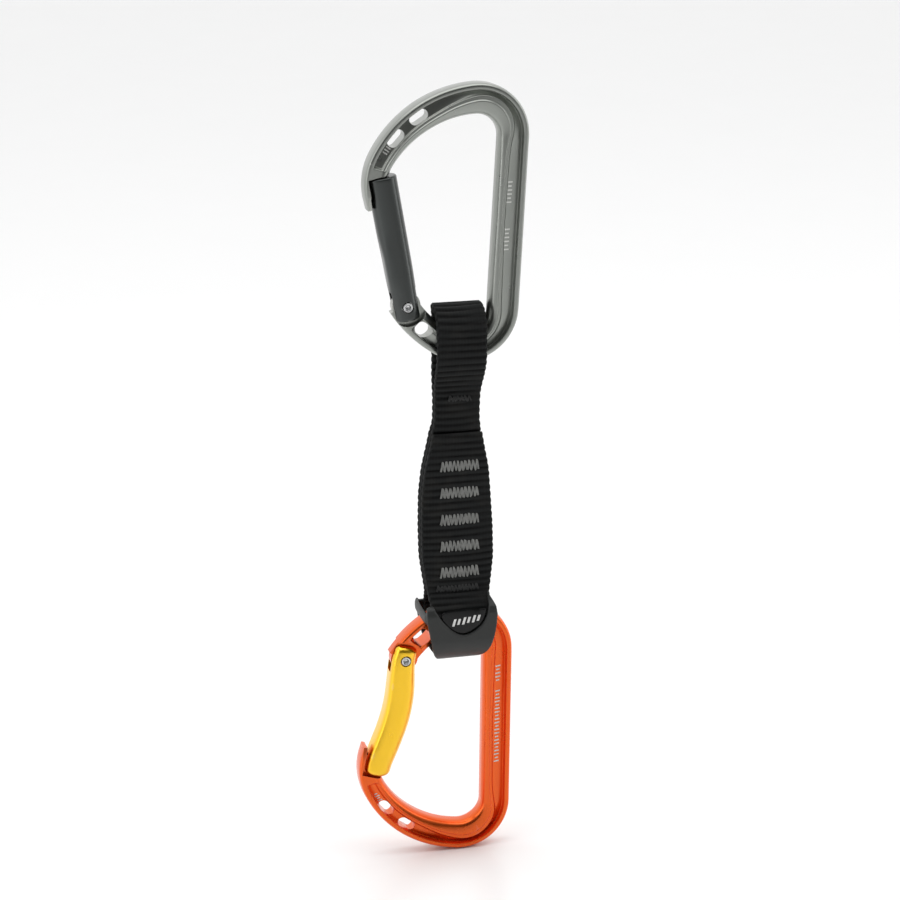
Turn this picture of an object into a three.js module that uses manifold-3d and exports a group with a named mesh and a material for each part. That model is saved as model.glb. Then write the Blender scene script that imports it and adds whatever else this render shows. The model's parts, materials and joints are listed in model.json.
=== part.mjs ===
// Climbing quickdraw: two hot-forged keylock carabiners joined by a short sewn sling.
// Millimetres, +Z up. Both carabiners lie in the XZ plane, spines toward +X and gates toward -X.
// The origin is the highest point inside the upper basket, where a bolt hanger carries the part.
import * as THREE from 'three';
import { mergeVertices } from 'three/addons/utils/BufferGeometryUtils.js';
import Module from 'manifold-3d';

const manifold = await Module();
manifold.setup();

const RUNNING_GAP = 0.3;

// ---- Carabiner frame: one bar bent round a path of arcs, seen from -Y, starting at the gate pin.
const PATH_START = [-21.7, -25.5];
const PATH_HEADING = -56.1;
const BASE_ARC = { radius: 40, turn: 29.9 };
const SLING_BEND = { radius: 13.2, turn: 116.1 };
const SPINE_LENGTH = 58.4;
const BASKET_CORNER = { radius: 12.5, turn: 96.4 };
const BASKET_ARC = { radius: 38.7, turn: 55.9 };
const NOSE_ARC = { radius: 18.4, turn: 50 };
const ARC_STEP = 7.5;
const SPINE_STEPS = 5;

// Bar section, as [distance along the bar, value] pairs.
const BAR_WIDTH = [
  [0, 10], [21, 9.5], [34, 9.1], [48, 10.4], [106, 10.3], [117, 10.7], [146, 9.8], [186, 6.9],
];
const INNER_LIP = [
  [0, 2.6], [34, 3.3], [48, 3], [77, 2.3], [106, 2.8], [119, 4.6], [140, 3.6], [147, 3], [186, 2.4],
];
const CHANNEL_OPEN = [[7.6, 0], [8.6, 1], [167, 1], [169, 0]];
const OUTER_LIP = 2.1;
const LIP_HALF_DEPTH = 4.2;
const FLANGE_HALF_DEPTH = 3.8;
const WEB_HALF_INSIDE = 3;
const WEB_HALF_OUTSIDE = 1.8;

// Lightening slots through the web beside the basket, and the round hole behind the gate.
const SLOT_SIZE = [6.6, 3.5];
const SLOTS = [{ along: 146.8, outward: 0.8 }, { along: 156.8, outward: 0.6 }];
const WEB_HOLE = { along: 10.4, outward: 0, radius: 2 };

// ---- Gate. In the gate's own frame z runs from pin to nose, x points into the carabiner.
const GATE_PIN = [-20.6, -25.7];
const GATE_LEAN = 12.7;
const GATE_FOOT = -4.8;
const GATE_TOP = 44.2;
const GATE_HALF_DEPTH = 4.7;
const GATE_ROUNDING = 0.9;
const GATE_SIDES = 20;
const GATE_STEPS = 8;
const GATE_STEP_END = 40;
// Reach from the pin's axis inward and outward, as [height, reach] pairs.
// A lower box value squares the outer side, and bow is the bend toward the inside.
const STRAIGHT_GATE = {
  inward: [[-4.8, 4.3], [4, 4.4], [12, 4.6], [44.2, 4.6]],
  outward: [[-4.8, 4.4], [0, 4.6], [6, 5.1], [44.2, 5.3]],
  box: 0.9,
  bow: 0,
};
const BENT_GATE = {
  inward: [[-4.8, 4.2], [2, 4.5], [12, 5.1], [36, 5.2], [44.2, 4.6]],
  outward: [[-4.8, 4.2], [2, 4.6], [10, 4.9], [44.2, 4.9]],
  box: 0.5,
  bow: 2.2,
};
const TONGUE_HALF = 1.7;
const TONGUE_RADIUS = 4.8;
const PIN_RADIUS = 1.65;
const SHOULDER_RADIUS = 6.7;
const SLOT_TOP = 5.5;
const TONGUE_FLAT_HEIGHT = 2.4;
const BORE_OFFSET = 2.4;
const BORE_RADIUS = 1.25;
const BORE_TOP = 24;
const PLUNGER_RADIUS = 0.95;
const PLUNGER_LENGTH = 8;
const SPRING_WIRE = 0.22;
const SPRING_TURNS = 6;

// Keylock nose: a finger outside the gate's end and a key that the gate's end slot closes on.
const NOSE_TIP = 34.3;
const FINGER_INSIDE = 5.7;
const KEY_HALF = 1.5;
const KEY_FOOT = 37.6;
const KEY_DEPTH = 1.2;

// ---- Places in the whole part.
const UPPER_TILT = 3;
const UPPER_CROWN = [0, 38.45];
const LOWER_PLACE = [-5.1, -215];
const LOWER_TILT = 0.7;

// ---- Sling: one strip, doubled at the neck and three layers thick where it is sewn.
const NECK_THICKNESS = 5;
const SEWN_THICKNESS = 7.4;
const NECK_HINGE = -92.6;
const SEWN_BOTTOM = -166.2;
const STRAP_LAYER = 2.4;
const UPPER_EYE = {
  centre: -5.9, width: 16.6, hollow: 6, crown: -71.6, fork: -82.6, apex: -86.4, end: -89.8,
};
const LOWER_EYE = {
  centre: -6.6, width: 22, hollow: 5.4, crown: -180.8, fork: -171.2, apex: -167.7, end: -166.5,
};
// Outline in x and z that narrows the lower eye toward its crown.
const LOWER_EYE_TAPER = [
  [-18.3, -166], [-17.6, -173], [-14.2, -190], [1.7, -190], [3.6, -178], [4.2, -166],
];
const SEWN_OUTLINE = [[-92.6, 16.6], [-104, 16.8], [-112, 20.9], [-121, 23.6], [-130, 24.7], [-142, 25.5],
  [-153, 25.5], [-161, 23.5], [-166.2, 21.6]];
const SEWN_THICKNESSES = [[-105.5, NECK_THICKNESS], [-109, SEWN_THICKNESS]];
const SEWN_CENTRES = [[-92.6, -7.4], [-130, -7.8], [-166.2, -7]];

// Stitching: five wide bar tacks, one at the neck and one above the lower eye.
const TACK_SIZE = [13.3, 4.6];
const TACK_FIRST = -119.4;
const TACK_PITCH = 9.6;
const TACK_COUNT = 5;
const TACK_CENTRE = -6.2;
const TACK_PROUD = 0.35;
const NECK_TACK = { x: -6.9, z: -97, width: 7.7, height: 5.4, thickness: NECK_THICKNESS };
const FOOT_TACK = { x: -7, z: -163.8, width: 15, height: 2.6, thickness: SEWN_THICKNESS };

// Rubber retainer: a cup of constant wall that follows the lower eye, with a window in front.
const RETAINER_WALL = 1.5;
const RETAINER_TOP = -167.2;
const RETAINER_SIDES = {
  left: [[-19.3, -167], [-18.6, -173], [-15.6, -190.8]],
  right: [[1.8, -191.5], [4.6, -182.5], [6, -167]],
};
const WINDOW = [
  [-18, -160], [-17, -168.5], [-11.9, -176], [-7.6, -179.4], [-3, -179], [1.2, -175.8], [3.1, -168.5],
  [4, -160],
];
const BADGE = [[-13.9, -172.2], [-11.3, -175.7], [-7.4, -178.7], [-3.3, -178.3], [0.5, -175.3], [1.5, -172.2]];
const BADGE_THICKNESS = 0.7;

// ---------------------------------------------------------------------------------- helpers

const radians = THREE.MathUtils.degToRad;

// Straight-line value between the pairs of a table whose first column rises or falls.
function along(table, position) {
  const rising = table[table.length - 1][0] > table[0][0];
  const beyond = (a, b) => (rising ? a <= b : a >= b);
  if (beyond(position, table[0][0])) return table[0][1];
  for (let i = 1; i < table.length; i += 1) {
    const [from, low] = table[i - 1];
    const [to, high] = table[i];
    if (beyond(position, to)) return low + ((high - low) * (position - from)) / (to - from);
  }
  return table[table.length - 1][1];
}

function toSolid(geometry) {
  const bare = geometry.clone();
  bare.deleteAttribute('normal');
  bare.deleteAttribute('uv');
  const merged = mergeVertices(bare, 1e-4);
  const mesh = new manifold.Mesh({
    numProp: 3,
    vertProperties: new Float32Array(merged.attributes.position.array),
    triVerts: new Uint32Array(merged.index.array),
  });
  return new manifold.Manifold(mesh);
}

function toGeometry(solid) {
  const mesh = solid.getMesh();
  const geometry = new THREE.BufferGeometry();
  geometry.setAttribute('position', new THREE.BufferAttribute(new Float32Array(mesh.vertProperties), 3));
  geometry.setIndex(new THREE.BufferAttribute(new Uint32Array(mesh.triVerts), 1));
  geometry.computeVertexNormals();
  return geometry;
}

function cut(solid, ...tools) {
  return tools.reduce((left, tool) => left.subtract(toSolid(tool)), solid);
}

// Triangles over an outline, each wound the same way round as the outline itself.
function capFaces(section) {
  const faces = THREE.ShapeUtils.triangulateShape(section, []);
  const sample = faces[0].map((i) => section[i]);
  const agree = THREE.ShapeUtils.area(sample) * THREE.ShapeUtils.area(section) > 0;
  return agree ? faces : faces.map(([a, b, c]) => [a, c, b]);
}

// Turns a closed skin's faces outward if its enclosed volume comes out negative.
function outward(geometry) {
  const index = geometry.index.array;
  const corner = (i) => new THREE.Vector3().fromBufferAttribute(geometry.attributes.position, index[i]);
  let volume = 0;
  for (let i = 0; i < index.length; i += 3) {
    volume += corner(i).dot(corner(i + 1).cross(corner(i + 2)));
  }
  if (volume < 0) {
    for (let i = 0; i < index.length; i += 3) {
      [index[i], index[i + 1]] = [index[i + 1], index[i]];
    }
  }
  return geometry;
}

// Closed skin over a row of like-numbered rings. The sections are the rings' 2-D outlines.
function loft(rings, sections) {
  const size = rings[0].length;
  const positions = rings.flat().flatMap((point) => [point.x, point.y, point.z]);
  const index = [];
  for (let i = 0; i + 1 < rings.length; i += 1) {
    for (let j = 0; j < size; j += 1) {
      const a = i * size + j;
      const b = i * size + ((j + 1) % size);
      index.push(a, b, a + size, b, b + size, a + size);
    }
  }
  const last = (rings.length - 1) * size;
  for (const [a, b, c] of capFaces(sections[0])) {
    index.push(a, c, b);
  }
  for (const [a, b, c] of capFaces(sections[sections.length - 1])) {
    index.push(last + a, last + b, last + c);
  }
  const geometry = new THREE.BufferGeometry();
  geometry.setAttribute('position', new THREE.Float32BufferAttribute(positions, 3));
  geometry.setIndex(index);
  return outward(geometry);
}

// Outline given in x and z, as a plate between two depths in y.
function plate(points, fromY, toY) {
  const shape = new THREE.Shape(points.map(([x, z]) => new THREE.Vector2(x, z)));
  const geometry = new THREE.ExtrudeGeometry(shape, { depth: toY - fromY, bevelEnabled: false });
  geometry.rotateX(Math.PI / 2);
  geometry.translate(0, toY, 0);
  return geometry;
}

function block(fromX, toX, fromY, toY, fromZ, toZ) {
  const geometry = new THREE.BoxGeometry(toX - fromX, toY - fromY, toZ - fromZ);
  geometry.translate((fromX + toX) / 2, (fromY + toY) / 2, (fromZ + toZ) / 2);
  return geometry;
}

// Round bar parallel to y.
function crossBar(x, z, radius, fromY, toY, sides = 24) {
  const geometry = new THREE.CylinderGeometry(radius, radius, toY - fromY, sides);
  geometry.translate(x, (fromY + toY) / 2, z);
  return geometry;
}

function mirrored(half) {
  const back = half.map(([x, y]) => [x, -y]).reverse();
  return [...half, ...back].map(([x, y]) => new THREE.Vector2(x, y));
}

function namedMesh(name, geometry, material) {
  const mesh = new THREE.Mesh(geometry, material);
  mesh.name = name;
  return mesh;
}

function finish(color, roughness, metalness) {
  return new THREE.MeshStandardMaterial({ color, roughness, metalness });
}

// ------------------------------------------------------------------------- carabiner frame

// Places along the bar's middle line, each with its distance and heading.
function barStations() {
  const pieces = [BASE_ARC, SLING_BEND, { length: SPINE_LENGTH }, BASKET_CORNER, BASKET_ARC, NOSE_ARC];
  let [x, z] = PATH_START;
  let heading = radians(PATH_HEADING);
  let distance = 0;
  const stations = [{ x, z, heading, distance }];
  for (const piece of pieces) {
    const steps = piece.radius ? Math.ceil(piece.turn / ARC_STEP) : SPINE_STEPS;
    const turn = piece.radius ? radians(piece.turn) / steps : 0;
    const chord = piece.radius ? 2 * piece.radius * Math.sin(turn / 2) : piece.length / steps;
    const stride = piece.radius ? piece.radius * turn : chord;
    for (let i = 0; i < steps; i += 1) {
      x += chord * Math.cos(heading + turn / 2);
      z += chord * Math.sin(heading + turn / 2);
      heading += turn;
      distance += stride;
      stations.push({ x, z, heading, distance });
    }
  }
  return stations;
}

// Half of the bar's section: a broad inner lip, a channel that deepens outward, and an outer lip.
function barSection(distance) {
  const half = along(BAR_WIDTH, distance) / 2;
  const open = along(CHANNEL_OPEN, distance);
  const crest = -half + along(INNER_LIP, distance);
  const wall = half - OUTER_LIP;
  const inside = THREE.MathUtils.lerp(LIP_HALF_DEPTH - 0.1, WEB_HALF_INSIDE, open);
  const outside = THREE.MathUtils.lerp(FLANGE_HALF_DEPTH, WEB_HALF_OUTSIDE, open);
  return mirrored([
    [-half, 1],
    [-half + 0.5, 2.7],
    [-half + 1.4, 3.8],
    [crest, LIP_HALF_DEPTH],
    [crest + 0.5, inside],
    [wall - 0.2, outside],
    [wall, FLANGE_HALF_DEPTH],
    [half - 0.9, FLANGE_HALF_DEPTH],
    [half - 0.2, 2.7],
    [half, 1],
  ]);
}

// Turns a point of the section (outward, depth) at a station into the frame's coordinates.
function fromSection(station, outward, depth) {
  const x = station.x + outward * Math.sin(station.heading);
  const z = station.z - outward * Math.cos(station.heading);
  return new THREE.Vector3(x, depth, z);
}

function stationAt(stations, distance) {
  const after = stations.findIndex((station) => station.distance >= distance);
  const a = stations[after - 1];
  const b = stations[after];
  const part = (distance - a.distance) / (b.distance - a.distance);
  const mix = (key) => THREE.MathUtils.lerp(a[key], b[key], part);
  return { x: mix('x'), z: mix('z'), heading: mix('heading') };
}

// Round-ended slot through the web, its long side along the bar.
function webSlot(station, outward) {
  const [length, width] = SLOT_SIZE;
  const shape = new THREE.Shape();
  shape.absarc((length - width) / 2, 0, width / 2, -Math.PI / 2, Math.PI / 2);
  shape.absarc((width - length) / 2, 0, width / 2, Math.PI / 2, 1.5 * Math.PI);
  const geometry = new THREE.ExtrudeGeometry(shape, { depth: 12, bevelEnabled: false, curveSegments: 5 });
  geometry.rotateX(Math.PI / 2);
  geometry.translate(0, 6, 0);
  geometry.rotateY(-station.heading);
  const centre = fromSection(station, outward, 0);
  return geometry.translate(centre.x, 0, centre.z);
}

// Moves a tool made in the gate's frame into the carabiner's frame.
function fromGate(geometry) {
  geometry.rotateY(-radians(GATE_LEAN));
  return geometry.translate(GATE_PIN[0], 0, GATE_PIN[1]);
}

// Room that the gate sweeps at the nose: inside the finger and below the shoulder.
function nosePocket() {
  const reach = Math.hypot(GATE_TOP, GATE_HALF_DEPTH) + RUNNING_GAP;
  const points = [[14, 20], [-FINGER_INSIDE, 20]];
  const steps = 6;
  for (let i = 0; i <= steps; i += 1) {
    const x = THREE.MathUtils.lerp(-FINGER_INSIDE, 14, i / steps);
    points.push([x, Math.sqrt(reach * reach - x * x)]);
  }
  return plate(points, -7, 7);
}

function carabinerFrame() {
  const stations = barStations();
  const sections = stations.map((station) => barSection(station.distance));
  const rings = stations.map((station, i) => sections[i].map((p) => fromSection(station, p.x, p.y)));
  const shoulders = [-1, 1].map((side) => {
    const depths = [side * TONGUE_HALF, side * 7].sort((a, b) => a - b);
    return crossBar(GATE_PIN[0], GATE_PIN[1], SHOULDER_RADIUS, ...depths, 40);
  });
  let solid = cut(toSolid(loft(rings, sections)), ...shoulders);
  solid = solid.add(toSolid(crossBar(...GATE_PIN, TONGUE_RADIUS, -TONGUE_HALF, TONGUE_HALF, 28)));
  const hole = fromSection(stationAt(stations, WEB_HOLE.along), WEB_HOLE.outward, 0);
  solid = cut(
    solid,
    crossBar(...GATE_PIN, PIN_RADIUS + RUNNING_GAP, -3, 3, 20),
    fromGate(block(1.1, 9, -3, 3, TONGUE_FLAT_HEIGHT, 9)),
    crossBar(hole.x, hole.z, WEB_HOLE.radius, -6, 6, 16),
    ...SLOTS.map((slot) => webSlot(stationAt(stations, slot.along), slot.outward)),
    fromGate(nosePocket()),
    fromGate(block(-14, 14, -7, 7, 20, NOSE_TIP)),
  );
  const key = fromGate(block(-FINGER_INSIDE - 1, KEY_DEPTH, -KEY_HALF, KEY_HALF, KEY_FOOT, GATE_TOP + 3));
  return toGeometry(solid.add(toSolid(key)));
}

// ------------------------------------------------------------------------------------ gates

// Gate's outline at a height, rounded toward the inside. The inset shrinks it at the two ends.
function gateOutline(shape, z, inset) {
  const bent = z > 0 && z < GATE_STEP_END;
  const centre = bent ? shape.bow * Math.sin((Math.PI * z) / GATE_STEP_END) : 0;
  const outline = [];
  for (let j = 0; j < GATE_SIDES; j += 1) {
    const angle = ((j + 0.5) * 2 * Math.PI) / GATE_SIDES;
    const power = Math.cos(angle) > 0 ? 1 : shape.box;
    const reach = along(Math.cos(angle) > 0 ? shape.inward : shape.outward, z) - inset;
    const x = Math.sign(Math.cos(angle)) * reach * Math.abs(Math.cos(angle)) ** power;
    const y = Math.sign(Math.sin(angle)) * (GATE_HALF_DEPTH - inset) * Math.abs(Math.sin(angle)) ** power;
    outline.push(new THREE.Vector2(centre + x, y));
  }
  return outline;
}

function gateBar(shape) {
  const steps = Array.from({ length: GATE_STEPS + 1 }, (_, i) => (i * GATE_STEP_END) / GATE_STEPS);
  const low = [GATE_FOOT, GATE_FOOT + GATE_ROUNDING];
  const high = [GATE_TOP - GATE_ROUNDING, GATE_TOP];
  const heights = [...low, ...steps, ...high];
  const insetAt = (z) => (z === GATE_FOOT || z === GATE_TOP ? GATE_ROUNDING : 0);
  const sections = heights.map((z) => gateOutline(shape, z, insetAt(z)));
  const rings = sections.map((section, i) => section.map((p) => new THREE.Vector3(p.x, p.y, heights[i])));
  return loft(rings, sections);
}

function springBore() {
  const length = BORE_TOP - SLOT_TOP + 2;
  const geometry = new THREE.CylinderGeometry(BORE_RADIUS, BORE_RADIUS, length, 12);
  geometry.rotateX(Math.PI / 2);
  return geometry.translate(BORE_OFFSET, 0, BORE_TOP - length / 2);
}

// Gate with the tongue slot and pin hole at its foot, the spring bore, and the keylock slot on top.
function gate(shape) {
  const tongueSlot = TONGUE_HALF + RUNNING_GAP;
  const keySlot = KEY_HALF + RUNNING_GAP;
  return toGeometry(cut(
    toSolid(gateBar(shape)),
    block(-9, 9, -tongueSlot, tongueSlot, -9, SLOT_TOP),
    crossBar(0, 0, PIN_RADIUS + RUNNING_GAP, -8, 8, 20),
    springBore(),
    block(-9, KEY_DEPTH + 0.4, -keySlot, keySlot, KEY_FOOT - 0.6, GATE_TOP + 2),
  ));
}

// Hollow rivet: a shank with a dimple in each end.
function gateRivet() {
  const half = GATE_HALF_DEPTH + 0.1;
  const lowerEnd = [[0, 1.1 - half], [0.7, 0.9 - half], [1, -half], [1.45, -half], [PIN_RADIUS, 0.2 - half]];
  const upperEnd = lowerEnd.map(([r, y]) => [r, -y]).reverse();
  return new THREE.LatheGeometry([...lowerEnd, ...upperEnd].map(([r, y]) => new THREE.Vector2(r, y)), 20);
}

function gatePlunger() {
  const foot = TONGUE_FLAT_HEIGHT + RUNNING_GAP;
  const profile = [
    [0, 0], [0.5, 0], [PLUNGER_RADIUS, 0.6], [PLUNGER_RADIUS, PLUNGER_LENGTH], [0, PLUNGER_LENGTH],
  ];
  const geometry = new THREE.LatheGeometry(profile.map(([r, y]) => new THREE.Vector2(r, y)), 12);
  geometry.rotateX(Math.PI / 2);
  return geometry.translate(BORE_OFFSET, 0, foot);
}

class Coil extends THREE.Curve {
  getPoint(t, target = new THREE.Vector3()) {
    const start = TONGUE_FLAT_HEIGHT + PLUNGER_LENGTH + 2 * RUNNING_GAP + SPRING_WIRE;
    const end = BORE_TOP - RUNNING_GAP - SPRING_WIRE;
    const radius = PLUNGER_RADIUS - SPRING_WIRE;
    const angle = t * SPRING_TURNS * 2 * Math.PI;
    const x = BORE_OFFSET + radius * Math.cos(angle);
    return target.set(x, radius * Math.sin(angle), THREE.MathUtils.lerp(start, end, t));
  }
}

function gateSpring() {
  const wire = new THREE.Shape();
  wire.absarc(0, 0, SPRING_WIRE, 0, 2 * Math.PI);
  const options = { steps: SPRING_TURNS * 8, extrudePath: new Coil(), curveSegments: 5, bevelEnabled: false };
  return new THREE.ExtrudeGeometry(wire, options);
}

// One whole carabiner in its own frame, its gate pieces in a group at the pin.
function carabiner(prefix, bodyFinish, gateFinish, gateGeometry) {
  const group = new THREE.Group();
  group.add(namedMesh(`${prefix}_carabiner_body`, carabinerFrame(), bodyFinish));
  const gateGroup = new THREE.Group();
  gateGroup.position.set(GATE_PIN[0], 0, GATE_PIN[1]);
  gateGroup.rotation.y = -radians(GATE_LEAN);
  gateGroup.add(namedMesh(`${prefix}_gate`, gateGeometry, gateFinish));
  gateGroup.add(namedMesh(`${prefix}_gate_rivet`, gateRivet(), stainless));
  gateGroup.add(namedMesh(`${prefix}_gate_plunger`, gatePlunger(), stainless));
  gateGroup.add(namedMesh(`${prefix}_gate_spring`, gateSpring(), stainless));
  group.add(gateGroup);
  return group;
}

// ------------------------------------------------------------------------------------ sling

// Strap section: flat faces with softened edges.
function strapSection(centre, width, thickness) {
  const half = width / 2;
  const edge = Math.min(0.9, thickness / 3);
  const low = thickness * 0.3;
  const high = thickness / 2;
  const corner = [[-half, low], [-half + edge, high], [half - edge, high], [half, low]];
  return mirrored(corner).map((p) => new THREE.Vector2(p.x + centre, p.y));
}

// Solid of the sewn stretch. Its top end is rounded about the neck's folding line.
function sewnStretch() {
  const rounding = [[2.45, 0.9], [2.1, 2.7], [1.25, 4.3], [0, NECK_THICKNESS]];
  const levels = rounding.map(([rise, thickness]) => [NECK_HINGE + rise, thickness]);
  const below = [-104, -105.5, -109, -112, -116.5, -121, -130, -142, -153, -161, SEWN_BOTTOM];
  levels.push(...below.map((z) => [z, along(SEWN_THICKNESSES, z)]));
  levels.reverse();
  const sections = levels.map(([z, thickness]) => (
    strapSection(along(SEWN_CENTRES, z), along(SEWN_OUTLINE, z), thickness)
  ));
  const rings = sections.map((section, i) => section.map((p) => new THREE.Vector3(p.x, p.y, levels[i][0])));
  return toSolid(loft(rings, sections));
}

function tackBlock(tack, grow) {
  const halfX = tack.width / 2 + grow;
  const halfZ = tack.height / 2 + grow;
  const halfY = tack.thickness / 2 + TACK_PROUD + (grow ? 1 : 0);
  return block(tack.x - halfX, tack.x + halfX, -halfY, halfY, tack.z - halfZ, tack.z + halfZ);
}

function wideTacks() {
  const [width, height] = TACK_SIZE;
  return Array.from({ length: TACK_COUNT }, (_, i) => (
    { x: TACK_CENTRE, z: TACK_FIRST - i * TACK_PITCH, width, height, thickness: SEWN_THICKNESS }
  ));
}

// Ring of strap in the YZ plane round a bar. Above or below the fork it closes toward the stretch.
function eyeOutline(eye, grow, closed) {
  const up = Math.sign(eye.end - eye.crown);
  const radius = eye.hollow + grow;
  const points = [];
  const steps = 10;
  for (let i = 0; i <= steps; i += 1) {
    const angle = (Math.PI * i) / steps;
    points.push([radius * Math.cos(angle), eye.crown - up * radius * Math.sin(angle)]);
  }
  points.push([-radius, eye.fork]);
  if (closed) {
    points.push([-radius * 0.82, eye.fork + up * 1.4], [-radius * 0.42, eye.fork + up * 2.7], [0, eye.apex]);
    points.push([radius * 0.42, eye.fork + up * 2.7], [radius * 0.82, eye.fork + up * 1.4]);
  } else {
    const neck = eye === UPPER_EYE ? NECK_THICKNESS / 2 : SEWN_THICKNESS / 2 + 0.5;
    const drop = Math.abs(eye.end - eye.fork);
    points.push([-radius * 0.86, eye.fork + up * drop * 0.4], [-neck, eye.end]);
    points.push([neck, eye.end], [radius * 0.86, eye.fork + up * drop * 0.4]);
  }
  points.push([radius, eye.fork]);
  return points;
}

// Outline given in y and z, as a solid between two places in x.
function ribbon(points, fromX, toX) {
  const geometry = plate(points, -toX, -fromX);
  geometry.rotateZ(Math.PI / 2);
  return geometry;
}

function slingEye(eye) {
  const fromX = eye.centre - eye.width / 2;
  const outer = toSolid(ribbon(eyeOutline(eye, STRAP_LAYER, false), fromX, fromX + eye.width));
  const hollow = ribbon(eyeOutline(eye, 0, true), fromX - 1, fromX + eye.width + 1);
  return cut(outer, hollow);
}

// The lower eye narrows toward its crown so that it fits between the carabiner's sides.
function lowerSlingEye() {
  const sides = plate(LOWER_EYE_TAPER, -12, 12);
  return toGeometry(slingEye(LOWER_EYE).intersect(toSolid(sides)));
}

// --------------------------------------------------------------------------------- retainer

function retainer() {
  const inner = STRAP_LAYER + RUNNING_GAP;
  const shellOf = (grow) => ribbon(eyeOutline(LOWER_EYE, grow, false), -30, 12);
  const outline = plate([...RETAINER_SIDES.left, ...RETAINER_SIDES.right], -14, 14);
  const shell = cut(toSolid(shellOf(inner + RETAINER_WALL)), shellOf(inner));
  const trimmed = shell.intersect(toSolid(outline));
  return toGeometry(cut(
    trimmed,
    block(-30, 12, -14, 14, RETAINER_TOP, -160),
    plate(WINDOW, -14, 0),
  ));
}

// Glossy badge that fills the retainer's window.
function badge() {
  const y = -(LOWER_EYE.hollow + STRAP_LAYER + RUNNING_GAP);
  return plate(BADGE, y - BADGE_THICKNESS, y);
}

// --------------------------------------------------------------------------------- assembly

const stainless = finish('#c9cbcc', 0.25, 1);
const greyAnodised = finish('#878b86', 0.38, 0.9);
const orangeAnodised = finish('#ef6f22', 0.35, 0.85);
const blackAnodised = finish('#3a3d3c', 0.42, 0.85);
const goldAnodised = finish('#f2c11f', 0.3, 0.85);
const blackWebbing = finish('#1c1d1d', 0.9, 0);
const blackThread = finish('#262726', 0.85, 0);
const greyThread = finish('#777876', 0.8, 0);
const rubber = finish('#333534', 0.65, 0);
const glossyBadge = finish('#0c0d0d', 0.15, 0);

const quickdraw = new THREE.Group();

const upper = carabiner('upper', greyAnodised, blackAnodised, gate(STRAIGHT_GATE));
const upperTurn = radians(UPPER_TILT);
upper.rotation.y = upperTurn;
upper.position.set(-UPPER_CROWN[1] * Math.sin(upperTurn), 0, -UPPER_CROWN[1] * Math.cos(upperTurn));
quickdraw.add(upper);

const turnedOver = carabiner('lower', orangeAnodised, goldAnodised, gate(BENT_GATE));
turnedOver.rotation.x = Math.PI;
const lower = new THREE.Group();
lower.add(turnedOver);
lower.rotation.y = radians(LOWER_TILT);
lower.position.set(LOWER_PLACE[0], 0, LOWER_PLACE[1]);
quickdraw.add(lower);

const tacks = [...wideTacks(), NECK_TACK, FOOT_TACK];
const stretch = cut(sewnStretch(), ...tacks.map((tack) => tackBlock(tack, RUNNING_GAP)));
quickdraw.add(namedMesh('sling_sewn_stretch', toGeometry(stretch), blackWebbing));
quickdraw.add(namedMesh('sling_upper_eye', toGeometry(slingEye(UPPER_EYE)), blackWebbing));
quickdraw.add(namedMesh('sling_lower_eye', lowerSlingEye(), blackWebbing));
wideTacks().forEach((tack, i) => {
  quickdraw.add(namedMesh(`bar_tack_${i + 1}`, tackBlock(tack, 0), greyThread));
});
quickdraw.add(namedMesh('neck_tack', tackBlock(NECK_TACK, 0), blackThread));
quickdraw.add(namedMesh('foot_tack', tackBlock(FOOT_TACK, 0), blackThread));
quickdraw.add(namedMesh('rubber_retainer', retainer(), rubber));
quickdraw.add(namedMesh('retainer_badge', badge(), glossyBadge));

export default quickdraw;
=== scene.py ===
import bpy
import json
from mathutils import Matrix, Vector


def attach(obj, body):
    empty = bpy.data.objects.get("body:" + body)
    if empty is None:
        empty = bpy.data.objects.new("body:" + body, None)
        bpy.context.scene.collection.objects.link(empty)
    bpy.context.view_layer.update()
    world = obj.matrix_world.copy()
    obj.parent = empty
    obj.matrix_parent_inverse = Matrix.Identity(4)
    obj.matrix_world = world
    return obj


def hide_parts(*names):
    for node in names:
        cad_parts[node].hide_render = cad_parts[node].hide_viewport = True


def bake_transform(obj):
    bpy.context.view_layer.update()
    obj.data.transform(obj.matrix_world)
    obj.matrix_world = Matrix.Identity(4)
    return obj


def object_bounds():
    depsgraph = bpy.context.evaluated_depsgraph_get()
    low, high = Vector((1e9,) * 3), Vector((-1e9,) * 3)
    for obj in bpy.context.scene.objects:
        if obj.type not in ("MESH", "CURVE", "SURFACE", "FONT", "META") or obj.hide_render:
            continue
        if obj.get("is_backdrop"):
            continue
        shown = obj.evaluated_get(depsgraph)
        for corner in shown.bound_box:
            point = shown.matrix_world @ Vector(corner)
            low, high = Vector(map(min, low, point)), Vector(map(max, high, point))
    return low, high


bl_info = {
    "name": "Climbing quickdraw",
    "version": (1, 0, 0),
    "blender": (4, 5, 0),
    "location": "View3D > Sidebar > Quickdraw",
    "description": "Builds the visible pieces of a climbing quickdraw on its fixed frame",
    "category": "Object",
}

import json
import math
import random

import bmesh
import bpy
import numpy as np
from mathutils import Matrix, Vector

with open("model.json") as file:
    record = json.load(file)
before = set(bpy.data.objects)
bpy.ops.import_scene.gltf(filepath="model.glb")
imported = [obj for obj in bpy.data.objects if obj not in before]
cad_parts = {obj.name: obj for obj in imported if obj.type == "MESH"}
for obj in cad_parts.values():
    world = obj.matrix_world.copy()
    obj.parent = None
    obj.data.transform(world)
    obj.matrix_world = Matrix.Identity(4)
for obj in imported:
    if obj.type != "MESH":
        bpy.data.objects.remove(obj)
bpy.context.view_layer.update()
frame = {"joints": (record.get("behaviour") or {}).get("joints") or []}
JOINTS = {joint["name"]: joint for joint in frame["joints"]}
MM = 0.001

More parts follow.
